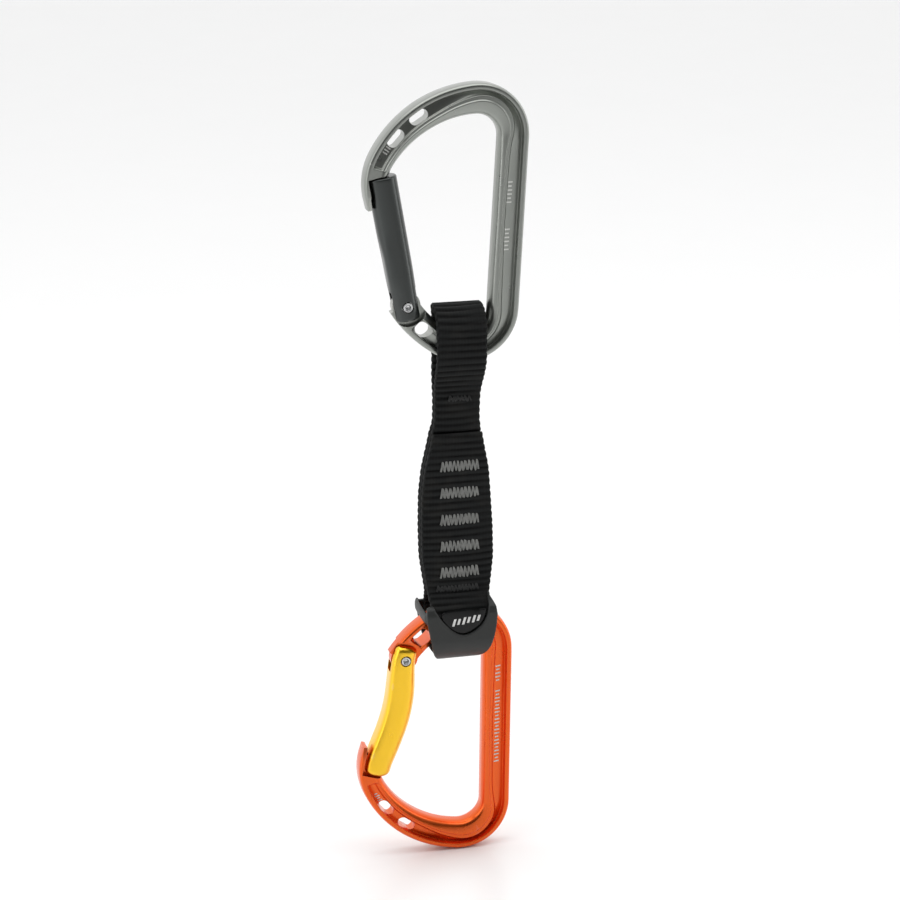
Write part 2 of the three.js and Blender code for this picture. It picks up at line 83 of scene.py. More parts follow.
# ---- Carabiner frame, in its own millimetres: one bar bent round a path of arcs.
PATH_START = (-21.7, -25.5)
PATH_HEADING = -56.1
PATH_PIECES = ((40.0, 29.9), (13.2, 116.1), (None, 58.4), (12.5, 96.4), (38.7, 55.9), (18.4, 42.0), (None, 7.0))
BAR_WIDTH = ((0, 10), (21, 9.5), (34, 9.1), (48, 10.4), (106, 10.3), (117, 10.7), (146, 9.8), (186, 6.9))
CROWN_EDGE = (
    (0, 2.6), (34, 3.0), (48, 2.6), (77, 2.1), (100, 2.3), (106, 2.9), (113, 4.4), (120, 5.1),
    (127, 4.6), (140, 2.8), (147, 2.4), (152, 2.3), (165, 2.0), (186, 2.0),
)
LEDGE_EDGE = (
    (0, 3.3), (34, 3.9), (48, 3.7), (77, 3.1), (100, 3.4), (106, 4.0), (113, 5.9), (120, 6.8),
    (127, 6.0), (140, 3.7), (147, 3.3), (152, 3.1), (165, 2.7), (186, 2.7),
)
CHANNEL_SPAN = (7.4, 168.4)
OUTER_LIP = 2.1
LIP_HALF_DEPTH = 4.2
FLANGE_HALF_DEPTH = 3.8
WEB_HALF = (3.0, 1.8)
SLOT_SIZE = (6.6, 3.5)
SLOTS = ((146.8, 0.8), (156.8, 0.6))
WEB_HOLE = (10.6, 0.1)

# ---- Gate, in its own frame: z from the pin to the nose, x into the carabiner.
GATE_PIN = (-20.6, -25.7)
GATE_LEAN = 12.7
GATE_FOOT = -4.8
GATE_TOP = 44.2
TONGUE_HALF = 1.7
TONGUE_RADIUS = 4.8
SHOULDER_RADIUS = 6.7
PIN_RADIUS = 1.65
SLOT_TOP = 5.5
BORE = (2.4, 1.25, 24.0)
NOSE_TIP = 34.3
FINGER_INSIDE = 5.7
GATE_HALF_DEPTH = 4.7
KEY = (1.5, 37.6, 1.2)
SPRING_ENDS = (11.25, 23.4)
SPRING_TURNS = 11
SPRING_RADIUS = 0.73
SPRING_WIRE = 0.2

# ---- Sling. z is the height in the whole part and y its thickness from front to back.
STRAP_LAYER = 2.4
UPPER_LOOP = {"crown": -71.6, "radius": 7.3, "fork": -80.8, "joined": -95.5}
LOWER_LOOP = {"crown": -180.8, "radius": 6.6, "fork": -171.4, "joined": -164.6}
FLAP_TOP = -108.2
MIDDLE_END = -165.2
STRAP_WIDTHS = (
    (-62, 17.7), (-88, 17.4), (-96, 16.2), (-104, 16.1), (-112, 19.0), (-121, 22.8), (-130, 24.5),
    (-142, 25.5), (-153, 25.5), (-161, 23.5), (-168, 21.6), (-178, 19.6), (-190, 15.6),
)
STRAP_CENTRES = ((-62, -6.3), (-84, -6.3), (-94, -6.4), (-115, -6.8), (-130, -7.1), (-166, -6.2), (-190, -6.2))
BACK_LEG_SKEW = 0.28
TACK_FIRST = -119.4
TACK_PITCH = 9.6
TACK_CENTRE = -6.2

# ---- Rubber retainer and its badge, outlines in x and z.
RETAINER_SIDES = (
    (-17.6, -160), (-18.6, -168), (-19.2, -171.6), (-18.2, -177), (-17.0, -183.6), (-15.8, -187.4),
    (-13.4, -190.6), (-6, -190.8), (-0.4, -190.8), (2.8, -187.6), (4.4, -183.6), (5.7, -178), (6.2, -173.4),
    (6.0, -170), (5.2, -168.2), (3.9, -166.2), (2.6, -160),
)
WINDOW = (
    (-17.8, -160), (-16.6, -168.4), (-13.9, -173.2), (-10.4, -177.1), (-7.6, -179.1), (-4.6, -179.4),
    (-1.6, -178.0), (1.4, -175.3), (3.0, -171), (3.4, -166), (3.6, -160),
)
SIDE_STRIPS = ((-18.35, -0.7, -174.8, -170.6), (4.9, 1.1, -174.4, -169.9))
STRIP_HALF = 0.68
BADGE = (
    (-14.4, -170.6), (-13.0, -174.2), (-10.0, -177.5), (-7.2, -178.9), (-4.4, -179.0), (-1.6, -177.7),
    (0.9, -175.4), (2.2, -171.8), (2.3, -170.2), (-6, -169.6),
)


# ------------------------------------------------------------------------------ settings


def linear(hex_colour):
    """Linear red, green and blue of an sRGB hex colour."""
    channels = [int(hex_colour[i : i + 2], 16) / 255 for i in (1, 3, 5)]
    return tuple(c / 12.92 if c <= 0.04045 else ((c + 0.055) / 1.055) ** 2.4 for c in channels)


def colour_property(name, description, hex_colour):
    return bpy.props.FloatVectorProperty(
        name=name, description=description, default=linear(hex_colour), subtype="COLOR", size=3, min=0, max=1
    )


class QuickdrawSizes(bpy.types.PropertyGroup):
    station: bpy.props.FloatProperty(
        name="Bar station", description="Distance between the bar's sections", default=0.0008, unit="LENGTH"
    )
    rib_pitch: bpy.props.FloatProperty(
        name="Rib pitch", description="Distance between the sling's cross ribs", default=0.00235, unit="LENGTH"
    )
    rib_depth: bpy.props.FloatProperty(
        name="Rib depth", description="Depth of the groove between two ribs", default=0.0006, unit="LENGTH"
    )
    thread: bpy.props.FloatProperty(
        name="Thread", description="Radius of the sewing thread", default=0.00019, unit="LENGTH"
    )
    rubber_voxel: bpy.props.FloatProperty(
        name="Rubber grain", description="Voxel size that rounds the retainer", default=0.00034, unit="LENGTH"
    )


class QuickdrawFinishes(bpy.types.PropertyGroup):
    grey: colour_property("Grey", "Anodised upper carabiner", "#939691")
    orange: colour_property("Orange", "Anodised lower carabiner", "#E65D15")
    black: colour_property("Black", "Anodised straight gate", "#414443")
    gold: colour_property("Gold", "Anodised bent gate", "#FBC81F")
    webbing: colour_property("Webbing", "Dyed sling yarn", "#161717")
    tack_thread: colour_property("Tack thread", "Thread of the wide bar tacks", "#838481")
    rubber: colour_property("Rubber", "Moulded retainer", "#1F2120")


class QuickdrawStudio(bpy.types.PropertyGroup):
    azimuth: bpy.props.FloatProperty(
        name="Azimuth", description="Camera angle round the part", default=math.radians(-14), subtype="ANGLE"
    )
    elevation: bpy.props.FloatProperty(
        name="Elevation", description="Camera angle above level", default=math.radians(17.4), subtype="ANGLE"
    )
    distance: bpy.props.FloatProperty(
        name="Distance", description="Camera to the aim point", default=0.7975, unit="LENGTH"
    )
    lens: bpy.props.FloatProperty(name="Lens", description="Focal length in millimetres", default=93.6)
    aim: bpy.props.FloatVectorProperty(
        name="Aim", description="Point the camera looks at", default=(-0.00858, 0, -0.1148), subtype="TRANSLATION"
    )
    floor: colour_property("Floor", "Pale studio floor", "#F4F4F4")


# ------------------------------------------------------------------------------- helpers


def add_node(tree, kind, settings=None, links=None):
    """Adds a node, sets its properties or inputs by name, and links outputs to its inputs."""
    node = tree.nodes.new(kind)
    for key, value in (settings or {}).items():
        if isinstance(key, int) or key in node.inputs:
            node.inputs[key].default_value = value
        else:
            setattr(node, key, value)
    for key, output in (links or {}).items():
        tree.links.new(output, node.inputs[key])
    return node


def new_material(name):
    """Empty node material with its shader joined to the output."""
    material = bpy.data.materials.new(name)
    material.use_nodes = True
    tree = material.node_tree
    tree.nodes.clear()
    shader = add_node(tree, "ShaderNodeBsdfPrincipled")
    add_node(tree, "ShaderNodeOutputMaterial", links={"Surface": shader.outputs["BSDF"]})
    return material, tree, shader


def per_mm(size):
    """Texture scale whose features are this many millimetres across."""
    return 1 / (size * MM)


def wave_mm(size):
    """Wave texture scale whose pale and dark bands are each this many millimetres wide."""
    return 3.14 / (20 * size * MM)


def eased(table, place, reach=3.0):
    """Value from a table of pairs at a place, with its corners eased over the reach."""
    xs, ys = zip(*sorted(table))
    return float(np.mean(np.interp(place + np.linspace(-reach, reach, 9), xs, ys)))


def smooth_step(value, start, end):
    t = min(max((value - start) / (end - start), 0.0), 1.0)
    return t * t * (3 - 2 * t)


def rounded(points, cuts, steps=3):
    """Open outline with each inner corner turned into a short curve, its tangents as long as its cut."""
    points = [np.array(p, float) for p in points]
    result = [points[0]]
    for before, corner, after, cut in zip(points, points[1:], points[2:], cuts):
        to_before, to_after = before - corner, after - corner
        reach_before, reach_after = np.linalg.norm(to_before), np.linalg.norm(to_after)
        tangent = min(cut, 0.48 * reach_before, 0.48 * reach_after)
        first = corner + to_before / reach_before * tangent
        last = corner + to_after / reach_after * tangent
        for t in np.linspace(0, 1, steps + 1):
            result.append((1 - t) ** 2 * first + 2 * t * (1 - t) * corner + t * t * last)
    result.append(points[-1])
    return result


def softened(points, rounds=3):
    """Closed outline with its corners cut again and again until they are round."""
    points = [np.array(p, float) for p in points]
    for _ in range(rounds):
        pairs = zip(points, points[1:] + points[:1])
        points = [q for a, b in pairs for q in (0.75 * a + 0.25 * b, 0.25 * a + 0.75 * b)]
    return points


def skin(rings, capped=True, looped=False):
    """Vertices and faces over a row of rings with the same number of points."""
    size, count = len(rings[0]), len(rings)
    faces = []
    for i in range(count if looped else count - 1):
        a, b = i * size, ((i + 1) % count) * size
        faces += [(a + j, a + (j + 1) % size, b + (j + 1) % size, b + j) for j in range(size)]
    if capped and not looped:
        faces += [tuple(reversed(range(size))), tuple(range((count - 1) * size, count * size))]
    return np.concatenate([np.asarray(ring, float) for ring in rings]), faces


def joined(parts):
    """One list of vertices and faces from several."""
    vertices, faces, offset = [], [], 0
    for part_vertices, part_faces in parts:
        vertices.append(np.asarray(part_vertices, float))
        faces += [tuple(i + offset for i in face) for face in part_faces]
        offset += len(part_vertices)
    return np.concatenate(vertices), faces


def new_object(name, geometry, material=None):
    """Object in metres from vertices in millimetres, its faces turned outward."""
    vertices, faces = geometry
    mesh = bpy.data.meshes.new(name)
    mesh.from_pydata((np.asarray(vertices) * MM).tolist(), [], faces)
    shell = bmesh.new()
    shell.from_mesh(mesh)
    bmesh.ops.recalc_face_normals(shell, faces=shell.faces)
    shell.to_mesh(mesh)
    shell.free()
    obj = bpy.data.objects.new(name, mesh)
    bpy.context.scene.collection.objects.link(obj)
    if material:
        mesh.materials.append(material)
    return obj


def apply_modifiers(obj):
    """Replaces the object's mesh by its modified form."""
    graph = bpy.context.evaluated_depsgraph_get()
    mesh = bpy.data.meshes.new_from_object(obj.evaluated_get(graph))
    obj.modifiers.clear()
    obj.data = mesh


def combine(obj, geometry, operation="DIFFERENCE"):
    """Cuts closed geometry out of the object, or adds it or keeps the common part."""
    tool = new_object("tool", geometry)
    modifier = obj.modifiers.new("combine", "BOOLEAN")
    modifier.object = tool
    modifier.operation = operation
    modifier.solver = "EXACT"
    apply_modifiers(obj)
    bpy.data.objects.remove(tool)


def smooth_shaded(obj, angle=32):
    obj.data.shade_smooth()
    obj.data.set_sharp_from_angle(angle=math.radians(angle))
    return obj


def prism(outline, from_y, to_y):
    """Outline in x and z as a plate between two depths."""
    return skin([[(x, y, z) for x, z in outline] for y in (from_y, to_y)])


def along_x(outline, from_x, to_x):
    """Outline in y and z as a bar between two places along x."""
    return skin([[(x, y, z) for y, z in outline] for x in (from_x, to_x)])


def block(from_x, to_x, from_y, to_y, from_z, to_z):
    return prism([(from_x, from_z), (to_x, from_z), (to_x, to_z), (from_x, to_z)], from_y, to_y)


def disc(x, z, radius, from_y, to_y, sides=72):
    turns = [2 * math.pi * i / sides for i in range(sides)]
    return prism([(x + radius * math.cos(t), z + radius * math.sin(t)) for t in turns], from_y, to_y)


def turned_profile(profile, sides=48):
    """Profile of radius and height turned about the y axis."""
    turns = [2 * math.pi * i / sides for i in range(sides)]
    return skin([[(r * math.cos(t), h, r * math.sin(t)) for t in turns] for r, h in profile])


def tube(points, radius, sides=6):
    """Round thread along a row of points."""
    points = np.array(points, float)
    rings, side = [], None
    for i, point in enumerate(points):
        ahead = points[min(i + 1, len(points) - 1)] - points[max(i - 1, 0)]
        ahead /= np.linalg.norm(ahead)
        start = np.array((0.0, 1.0, 0.0)) if side is None else side
        side = start - ahead * start.dot(ahead)
        if np.linalg.norm(side) < 1e-4:
            side = np.cross(ahead, (1.0, 0.0, 0.0))
        side /= np.linalg.norm(side)
        across = np.cross(ahead, side)
        turns = [2 * math.pi * k / sides for k in range(sides)]
        rings.append([point + radius * (math.cos(t) * side + math.sin(t) * across) for t in turns])
    return skin(rings)


def moved(geometry, matrix):
    """Geometry in millimetres, moved by a matrix whose shift is in millimetres."""
    vertices, faces = geometry
    turn = np.array(matrix.to_3x3())
    return np.asarray(vertices) @ turn.T + np.array(matrix.to_translation()), faces


def gate_to_bar():
    """From the gate's own frame to the carabiner's."""
    return Matrix.Translation((GATE_PIN[0], 0, GATE_PIN[1])) @ Matrix.Rotation(-math.radians(GATE_LEAN), 4, "Y")


def carabiner_place(side):
    """From the carabiner's own frame to the part, read from its gate's joints. The lower one is turned over."""
    pin = Vector(JOINTS[f"{side}_gate_hinge"]["pos_m"]) / MM
    along = JOINTS[f"{side}_plunger_slide"]["axis"]
    over = side == "lower"
    lean = math.radians(GATE_LEAN)
    own = math.atan2(-math.sin(lean), -math.cos(lean) if over else math.cos(lean))
    turn = Matrix.Rotation(math.atan2(along[0], along[2]) - own, 4, "Y")
    if over:
        turn = turn @ Matrix.Rotation(math.pi, 4, "X")
    return Matrix.Translation(pin) @ turn @ Matrix.Translation((-GATE_PIN[0], 0, -GATE_PIN[1]))


# -------------------------------------------------------------------------------- finishes


def anodised_aluminium(name, colour, roughness, coat, wear):
    """Blasted and anodised aluminium: clear oxide over dyed metal, so colour below and white gleams above."""
    material, tree, shader = new_material(name)
    place = add_node(tree, "ShaderNodeTexCoord").outputs["Object"]
    # Slow clouding of the dye bath, 11 mm across.
    cloud = add_node(tree, "ShaderNodeTexNoise", {"Scale": per_mm(11), "Detail": 3.0}, {"Vector": place})
    # Blast grain is 0.05 mm in life and drawn at 0.3 mm so that it shows.
    grain = add_node(tree, "ShaderNodeTexNoise", {"Scale": per_mm(0.3), "Detail": 2.0}, {"Vector": place})
    # Handling scuffs, 0.2 mm wide and 6 mm long.
    stretch = add_node(
        tree, "ShaderNodeMapping", {"Scale": (per_mm(0.25), per_mm(0.25), per_mm(7)), "Rotation": (0, 0.5, 0)},
        {"Vector": place},
    )
    scuff = add_node(
        tree, "ShaderNodeTexNoise", {"Scale": 1.0, "Detail": 1.0}, {"Vector": stretch.outputs["Vector"]}
    )
    scuffed = add_node(
        tree, "ShaderNodeMapRange", {"From Min": 0.68, "From Max": 0.74, "To Min": 0.0, "To Max": 0.09},
        {"Value": scuff.outputs["Fac"]},
    )
    rough = add_node(
        tree, "ShaderNodeMapRange",
        {"From Min": 0.3, "From Max": 0.7, "To Min": roughness - 0.04, "To Max": roughness + 0.06},
        {"Value": cloud.outputs["Fac"]},
    )
    total = add_node(
        tree, "ShaderNodeMath", {"operation": "ADD"}, {0: rough.outputs["Result"], 1: scuffed.outputs["Result"]}
    )
    deep = tuple(c * 0.93 for c in colour) + (1.0,)
    pale = tuple(min(1.0, c * 1.05 + 0.004) for c in colour) + (1.0,)
    dye = add_node(
        tree, "ShaderNodeMix", {"data_type": "RGBA", 6: deep, 7: pale}, {0: cloud.outputs["Fac"]}
    )
    # Oxide rubbed thin on raised edges shows paler metal.
    edge = add_node(tree, "ShaderNodeNewGeometry").outputs["Pointiness"]
    rubbed = add_node(
        tree, "ShaderNodeMapRange", {"From Min": 0.53, "From Max": 0.62, "To Min": 0.0, "To Max": wear},
        {"Value": edge},
    )
    worn = add_node(
        tree, "ShaderNodeMix", {"data_type": "RGBA", 7: (*linear("#D9D9D4"), 1.0)},
        {0: rubbed.outputs["Result"], 6: dye.outputs[2]},
    )
    # Tumbled edges have a radius of 0.18 mm.
    soft = add_node(tree, "ShaderNodeBevel", {"samples": 4, "Radius": 0.18 * MM})
    bump = add_node(
        tree, "ShaderNodeBump", {"Strength": 0.16, "Distance": 0.03 * MM},
        {"Height": grain.outputs["Fac"], "Normal": soft.outputs["Normal"]},
    )
    tree.links.new(worn.outputs[2], shader.inputs["Base Color"])
    tree.links.new(total.outputs["Value"], shader.inputs["Roughness"])
    tree.links.new(bump.outputs["Normal"], shader.inputs["Normal"])
    shader.inputs["Metallic"].default_value = 1.0
    shader.inputs["Coat Weight"].default_value = coat
    shader.inputs["Coat Roughness"].default_value = 0.16
    shader.inputs["Coat IOR"].default_value = 1.6
    return material


def stainless_steel():
    """Turned and tumbled stainless steel: bright, with fine lathe rings that stretch its gleams."""
    material, tree, shader = new_material("Turned stainless steel")
    place = add_node(tree, "ShaderNodeTexCoord").outputs["Object"]
    # Lathe marks are 0.06 mm in life and drawn at 0.12 mm so that they show.
    rings = add_node(
        tree, "ShaderNodeTexNoise", {"Scale": per_mm(0.12), "Detail": 1.0}, {"Vector": place}
    )
    smear = add_node(tree, "ShaderNodeTexNoise", {"Scale": per_mm(1.6), "Detail": 2.0}, {"Vector": place})
    rough = add_node(
        tree, "ShaderNodeMapRange", {"To Min": 0.16, "To Max": 0.34}, {"Value": smear.outputs["Fac"]}
    )
    tint = add_node(
        tree, "ShaderNodeMix",
        {"data_type": "RGBA", 6: (*linear("#BFC0C1"), 1.0), 7: (*linear("#DADBDB"), 1.0)},
        {0: smear.outputs["Fac"]},
    )
    soft = add_node(tree, "ShaderNodeBevel", {"samples": 4, "Radius": 0.1 * MM})
    bump = add_node(
        tree, "ShaderNodeBump", {"Strength": 0.12, "Distance": 0.01 * MM},
        {"Height": rings.outputs["Fac"], "Normal": soft.outputs["Normal"]},
    )
    tree.links.new(tint.outputs[2], shader.inputs["Base Color"])
    tree.links.new(rough.outputs["Result"], shader.inputs["Roughness"])
    tree.links.new(bump.outputs["Normal"], shader.inputs["Normal"])
    shader.inputs["Metallic"].default_value = 1.0
    return material


def woven_webbing(colour):
    """Dyed nylon webbing: matt yarns with painted shade in the grooves between the ribs and a painted highlight
    on the rib tops, with dust-pale fibre ends.
    """
    material, tree, shader = new_material("Woven black nylon webbing")
    place = add_node(tree, "ShaderNodeTexCoord").outputs["Object"]
    # Warp yarns 0.55 mm wide run along the strap, so they repeat across x.
    warp = add_node(
        tree, "ShaderNodeTexWave",
        {"wave_type": "BANDS", "bands_direction": "X", "Scale": wave_mm(0.55), "Distortion": 1.6,
         "Detail": 1.0, "Detail Scale": 3.0},
        {"Vector": place},
    )
    # Twist of each yarn, 0.3 mm long.
    twist = add_node(tree, "ShaderNodeTexNoise", {"Scale": per_mm(0.3), "Detail": 3.0}, {"Vector": place})
    fade = add_node(tree, "ShaderNodeTexNoise", {"Scale": per_mm(6), "Detail": 4.0}, {"Vector": place})
    height = add_node(
        tree, "ShaderNodeMix", {"data_type": "FLOAT", 0: 0.45},
        {2: warp.outputs["Fac"], 3: twist.outputs["Fac"]},
    )
    bump = add_node(
        tree, "ShaderNodeBump", {"Strength": 0.3, "Distance": 0.08 * MM}, {"Height": height.outputs[0]}
    )
    # Painted shade and highlight: deep is the yarn colour darkened as shade in the rib grooves, pale is it
    # lightened as a highlight on the rib tops.
    deep = tuple(c * 0.2 for c in colour) + (1.0,)
    pale = tuple(c * 1.9 for c in colour) + (1.0,)
    # The crest attribute is 0 in the groove between two ribs and 1 on top of a rib; it paints shade into the
    # grooves and a highlight onto the rib tops.
    crest = add_node(tree, "ShaderNodeAttribute", {"attribute_name": "crest"})
    painted_rib_light = add_node(
        tree, "ShaderNodeMapRange", {"From Min": 0.25, "From Max": 1.0, "To Min": 0.0, "To Max": 0.8},
        {"Value": crest.outputs["Fac"]},
    )
    yarn_and_painted_rib_light = add_node(
        tree, "ShaderNodeMath", {"operation": "MULTIPLY_ADD", 1: 0.25},
        {0: height.outputs[0], 2: painted_rib_light.outputs["Result"]},
    )
    # The yarn colour runs from painted groove shade to painted rib-top highlight, with the yarn pattern mixed in.
    dye = add_node(tree, "ShaderNodeMix", {"data_type": "RGBA", 6: deep, 7: pale}, {0: yarn_and_painted_rib_light.outputs["Value"]})
    dusted = add_node(
        tree, "ShaderNodeMapRange", {"From Min": 0.5, "From Max": 0.8, "To Min": 0.0, "To Max": 0.1},
        {"Value": fade.outputs["Fac"]},
    )
    dust = add_node(
        tree, "ShaderNodeMix", {"data_type": "RGBA", 7: (*linear("#5A5650"), 1.0)},
        {0: dusted.outputs["Result"], 6: dye.outputs[2]},
    )
    rough = add_node(
        tree, "ShaderNodeMapRange", {"To Min": 0.62, "To Max": 0.9}, {"Value": fade.outputs["Fac"]}
    )
    tree.links.new(dust.outputs[2], shader.inputs["Base Color"])
    tree.links.new(rough.outputs["Result"], shader.inputs["Roughness"])
    tree.links.new(bump.outputs["Normal"], shader.inputs["Normal"])
    shader.inputs["Specular IOR Level"].default_value = 0.16
    return material


def sewing_thread(name, colour):
    """Bonded polyester thread: soft gleam along twisted plies."""
    material, tree, shader = new_material(name)
    place = add_node(tree, "ShaderNodeTexCoord").outputs["Object"]
    # Plies of the thread, 0.18 mm wide.
    plies = add_node(
        tree, "ShaderNodeTexWave",
        {"wave_type": "BANDS", "bands_direction": "DIAGONAL", "Scale": wave_mm(0.18), "Distortion": 0.8},
        {"Vector": place},
    )
    patch = add_node(tree, "ShaderNodeTexNoise", {"Scale": per_mm(1.2), "Detail": 2.0}, {"Vector": place})
    deep = tuple(c * 0.6 for c in colour) + (1.0,)
    pale = tuple(min(1, c * 1.25) for c in colour) + (1.0,)
    tone = add_node(tree, "ShaderNodeMix", {"data_type": "RGBA", 6: deep, 7: pale}, {0: patch.outputs["Fac"]})
    rough = add_node(
        tree, "ShaderNodeMapRange", {"To Min": 0.5, "To Max": 0.75}, {"Value": patch.outputs["Fac"]}
    )
    bump = add_node(
        tree, "ShaderNodeBump", {"Strength": 0.5, "Distance": 0.04 * MM}, {"Height": plies.outputs["Fac"]}
    )
    tree.links.new(tone.outputs[2], shader.inputs["Base Color"])
    tree.links.new(rough.outputs["Result"], shader.inputs["Roughness"])
    tree.links.new(bump.outputs["Normal"], shader.inputs["Normal"])
    return material


def moulded_rubber(colour):
    """Injection-moulded rubber: satin, slightly mottled, with the fine spark texture of its mould."""
    material, tree, shader = new_material("Moulded black rubber")
    place = add_node(tree, "ShaderNodeTexCoord").outputs["Object"]
    # Mould texture is 0.1 mm in life and drawn at 0.25 mm so that it shows.
    spark = add_node(tree, "ShaderNodeTexNoise", {"Scale": per_mm(0.25), "Detail": 3.0}, {"Vector": place})
    mottle = add_node(tree, "ShaderNodeTexNoise", {"Scale": per_mm(5), "Detail": 3.0}, {"Vector": place})
    deep = tuple(c * 0.8 for c in colour) + (1.0,)
    pale = tuple(c * 1.25 for c in colour) + (1.0,)
    tone = add_node(tree, "ShaderNodeMix", {"data_type": "RGBA", 6: deep, 7: pale}, {0: mottle.outputs["Fac"]})
    rough = add_node(
        tree, "ShaderNodeMapRange", {"To Min": 0.4, "To Max": 0.62}, {"Value": mottle.outputs["Fac"]}
    )
    bump = add_node(
        tree, "ShaderNodeBump", {"Strength": 0.2, "Distance": 0.03 * MM}, {"Height": spark.outputs["Fac"]}
    )
    tree.links.new(tone.outputs[2], shader.inputs["Base Color"])
    tree.links.new(rough.outputs["Result"], shader.inputs["Roughness"])
    tree.links.new(bump.outputs["Normal"], shader.inputs["Normal"])
    shader.inputs["IOR"].default_value = 1.52
    return material


def polished_plastic():
    """Polished black ABS: near-mirror gloss with a slight moulded ripple."""
    material, tree, shader = new_material("Polished black ABS")
    place = add_node(tree, "ShaderNodeTexCoord").outputs["Object"]
    ripple = add_node(tree, "ShaderNodeTexNoise", {"Scale": per_mm(2.5), "Detail": 2.0}, {"Vector": place})
    rough = add_node(
        tree, "ShaderNodeMapRange", {"To Min": 0.08, "To Max": 0.2}, {"Value": ripple.outputs["Fac"]}
    )
    tone = add_node(
        tree, "ShaderNodeMix",
        {"data_type": "RGBA", 6: (*linear("#080909"), 1.0), 7: (*linear("#121313"), 1.0)},
        {0: ripple.outputs["Fac"]},
    )
    bump = add_node(
        tree, "ShaderNodeBump", {"Strength": 0.15, "Distance": 0.05 * MM}, {"Height": ripple.outputs["Fac"]}
    )
    tree.links.new(tone.outputs[2], shader.inputs["Base Color"])
    tree.links.new(rough.outputs["Result"], shader.inputs["Roughness"])
    tree.links.new(bump.outputs["Normal"], shader.inputs["Normal"])
    shader.inputs["Specular IOR Level"].default_value = 0.25
    return material


def pale_mark(name, hex_colour, metallic, roughness):
    """Pale mark, either oxide bleached by a laser or pad-printed ink: matt and slightly uneven."""
    material, tree, shader = new_material(name)
    place = add_node(tree, "ShaderNodeTexCoord").outputs["Object"]
    # Speckle of the mark's surface, 0.15 mm.
    speck = add_node(tree, "ShaderNodeTexNoise", {"Scale": per_mm(0.15), "Detail": 2.0}, {"Vector": place})
    full = linear(hex_colour)
    tone = add_node(
        tree, "ShaderNodeMix",
        {"data_type": "RGBA", 6: (*[c * 0.8 for c in full], 1.0), 7: (*full, 1.0)}, {0: speck.outputs["Fac"]},
    )
    rough = add_node(
        tree, "ShaderNodeMapRange", {"To Min": roughness - 0.1, "To Max": roughness + 0.1},
        {"Value": speck.outputs["Fac"]},
    )
    tree.links.new(tone.outputs[2], shader.inputs["Base Color"])
    tree.links.new(rough.outputs["Result"], shader.inputs["Roughness"])
    shader.inputs["Metallic"].default_value = metallic
    return material


def studio_paint(colour):
    """Satin-painted board of the studio floor, very faintly uneven."""
    material, tree, shader = new_material("Painted studio board")
    place = add_node(tree, "ShaderNodeTexCoord").outputs["Object"]
    roll = add_node(tree, "ShaderNodeTexNoise", {"Scale": per_mm(40), "Detail": 2.0}, {"Vector": place})
    rough = add_node(
        tree, "ShaderNodeMapRange", {"To Min": 0.28, "To Max": 0.36}, {"Value": roll.outputs["Fac"]}
    )
    tree.links.new(rough.outputs["Result"], shader.inputs["Roughness"])
    shader.inputs["Base Color"].default_value = (*colour, 1.0)
    return material


# ------------------------------------------------------------------------ carabiner frames


def bar_point(distance):
    """Place and heading of the bar's middle line at a distance from its start."""
    x, z = PATH_START
    heading = math.radians(PATH_HEADING)
    for radius, amount in PATH_PIECES:
        length = amount if radius is None else radius * math.radians(amount)
        step = min(distance, length)
        if radius is None:
            x += step * math.cos(heading)
            z += step * math.sin(heading)
        else:
            turned = heading + step / radius
            x += radius * (math.sin(turned) - math.sin(heading))
            z -= radius * (math.cos(turned) - math.cos(heading))
            heading = turned
        distance -= step
        if distance <= 0:
            break
    return x, z, heading


def bar_length():
    return sum(amount if radius is None else radius * math.radians(amount) for radius, amount in PATH_PIECES)


def bar_section(distance):
    """Closed outline across the bar: broad crown, stepped ledge, deepening channel and outer flange."""
    half = eased(BAR_WIDTH, distance) / 2
    crown = -half + eased(CROWN_EDGE, distance)
    ledge = max(-half + eased(LEDGE_EDGE, distance), crown + 0.75)
    wall = max(half - OUTER_LIP, ledge + 1.2)
    start, end = CHANNEL_SPAN
    opened = smooth_step(distance, start, start + 0.9) * (1 - smooth_step(distance, end - 0.9, end))
    lip, flange = LIP_HALF_DEPTH, FLANGE_HALF_DEPTH
    closed = flange + 0.05

    def sunk(depth, plain):
        return plain + (depth - plain) * opened

    points = [
        (-half, 0), (-half, 1.7), (-half + 0.9, 3.55), (crown - 0.1, lip), (crown + 0.35, sunk(3.62, lip - 0.15)),
        (ledge, sunk(3.66, closed)), (ledge + 0.5, sunk(WEB_HALF[0], closed)),
        (wall - 0.25, sunk(WEB_HALF[1], flange)), (wall, flange), (half - 0.75, flange), (half - 0.15, 2.9),
        (half, 0),
    ]
    cuts = (1.6, 1.0, 0.26, 0.18, 0.22, 0.25, 0.28, 0.25, 0.5, 1.4)
    front = rounded(points, cuts)
    return front + [np.array((u, -depth)) for u, depth in reversed(front[1:-1])]


def bar_ring(distance):
    x, z, heading = bar_point(distance)
    side, up = math.sin(heading), -math.cos(heading)
    return [(x + u * side, depth, z + u * up) for u, depth in bar_section(distance)]


def in_web(distance, outward, outline):
    """Outline given along and across the bar, as a prism through the web."""
    x, z, heading = bar_point(distance)
    ahead, side = (math.cos(heading), math.sin(heading)), (math.sin(heading), -math.cos(heading))
    points = []
    for a, b in outline:
        reach = b + outward
        points.append((x + a * ahead[0] + reach * side[0], z + a * ahead[1] + reach * side[1]))
    return prism(points, -6, 6)


def slot_outline():
    length, width = SLOT_SIZE
    straight, radius = (length - width) / 2, width / 2
    ends = [(1, -90 + 15 * i) for i in range(13)] + [(-1, 90 + 15 * i) for i in range(13)]
    return [
        (s * straight + radius * math.cos(math.radians(a)), radius * math.sin(math.radians(a))) for s, a in ends
    ]


def nose_pocket():
    """Room that the gate's end sweeps under the shoulder and inside the finger."""
    reach = math.hypot(GATE_TOP, GATE_HALF_DEPTH) + 0.3
    arc = [(x, math.sqrt(reach * reach - x * x)) for x in np.linspace(-FINGER_INSIDE, 14, 28)]
    return prism([(14, 20), (-FINGER_INSIDE, 20), *arc], -7, 7)


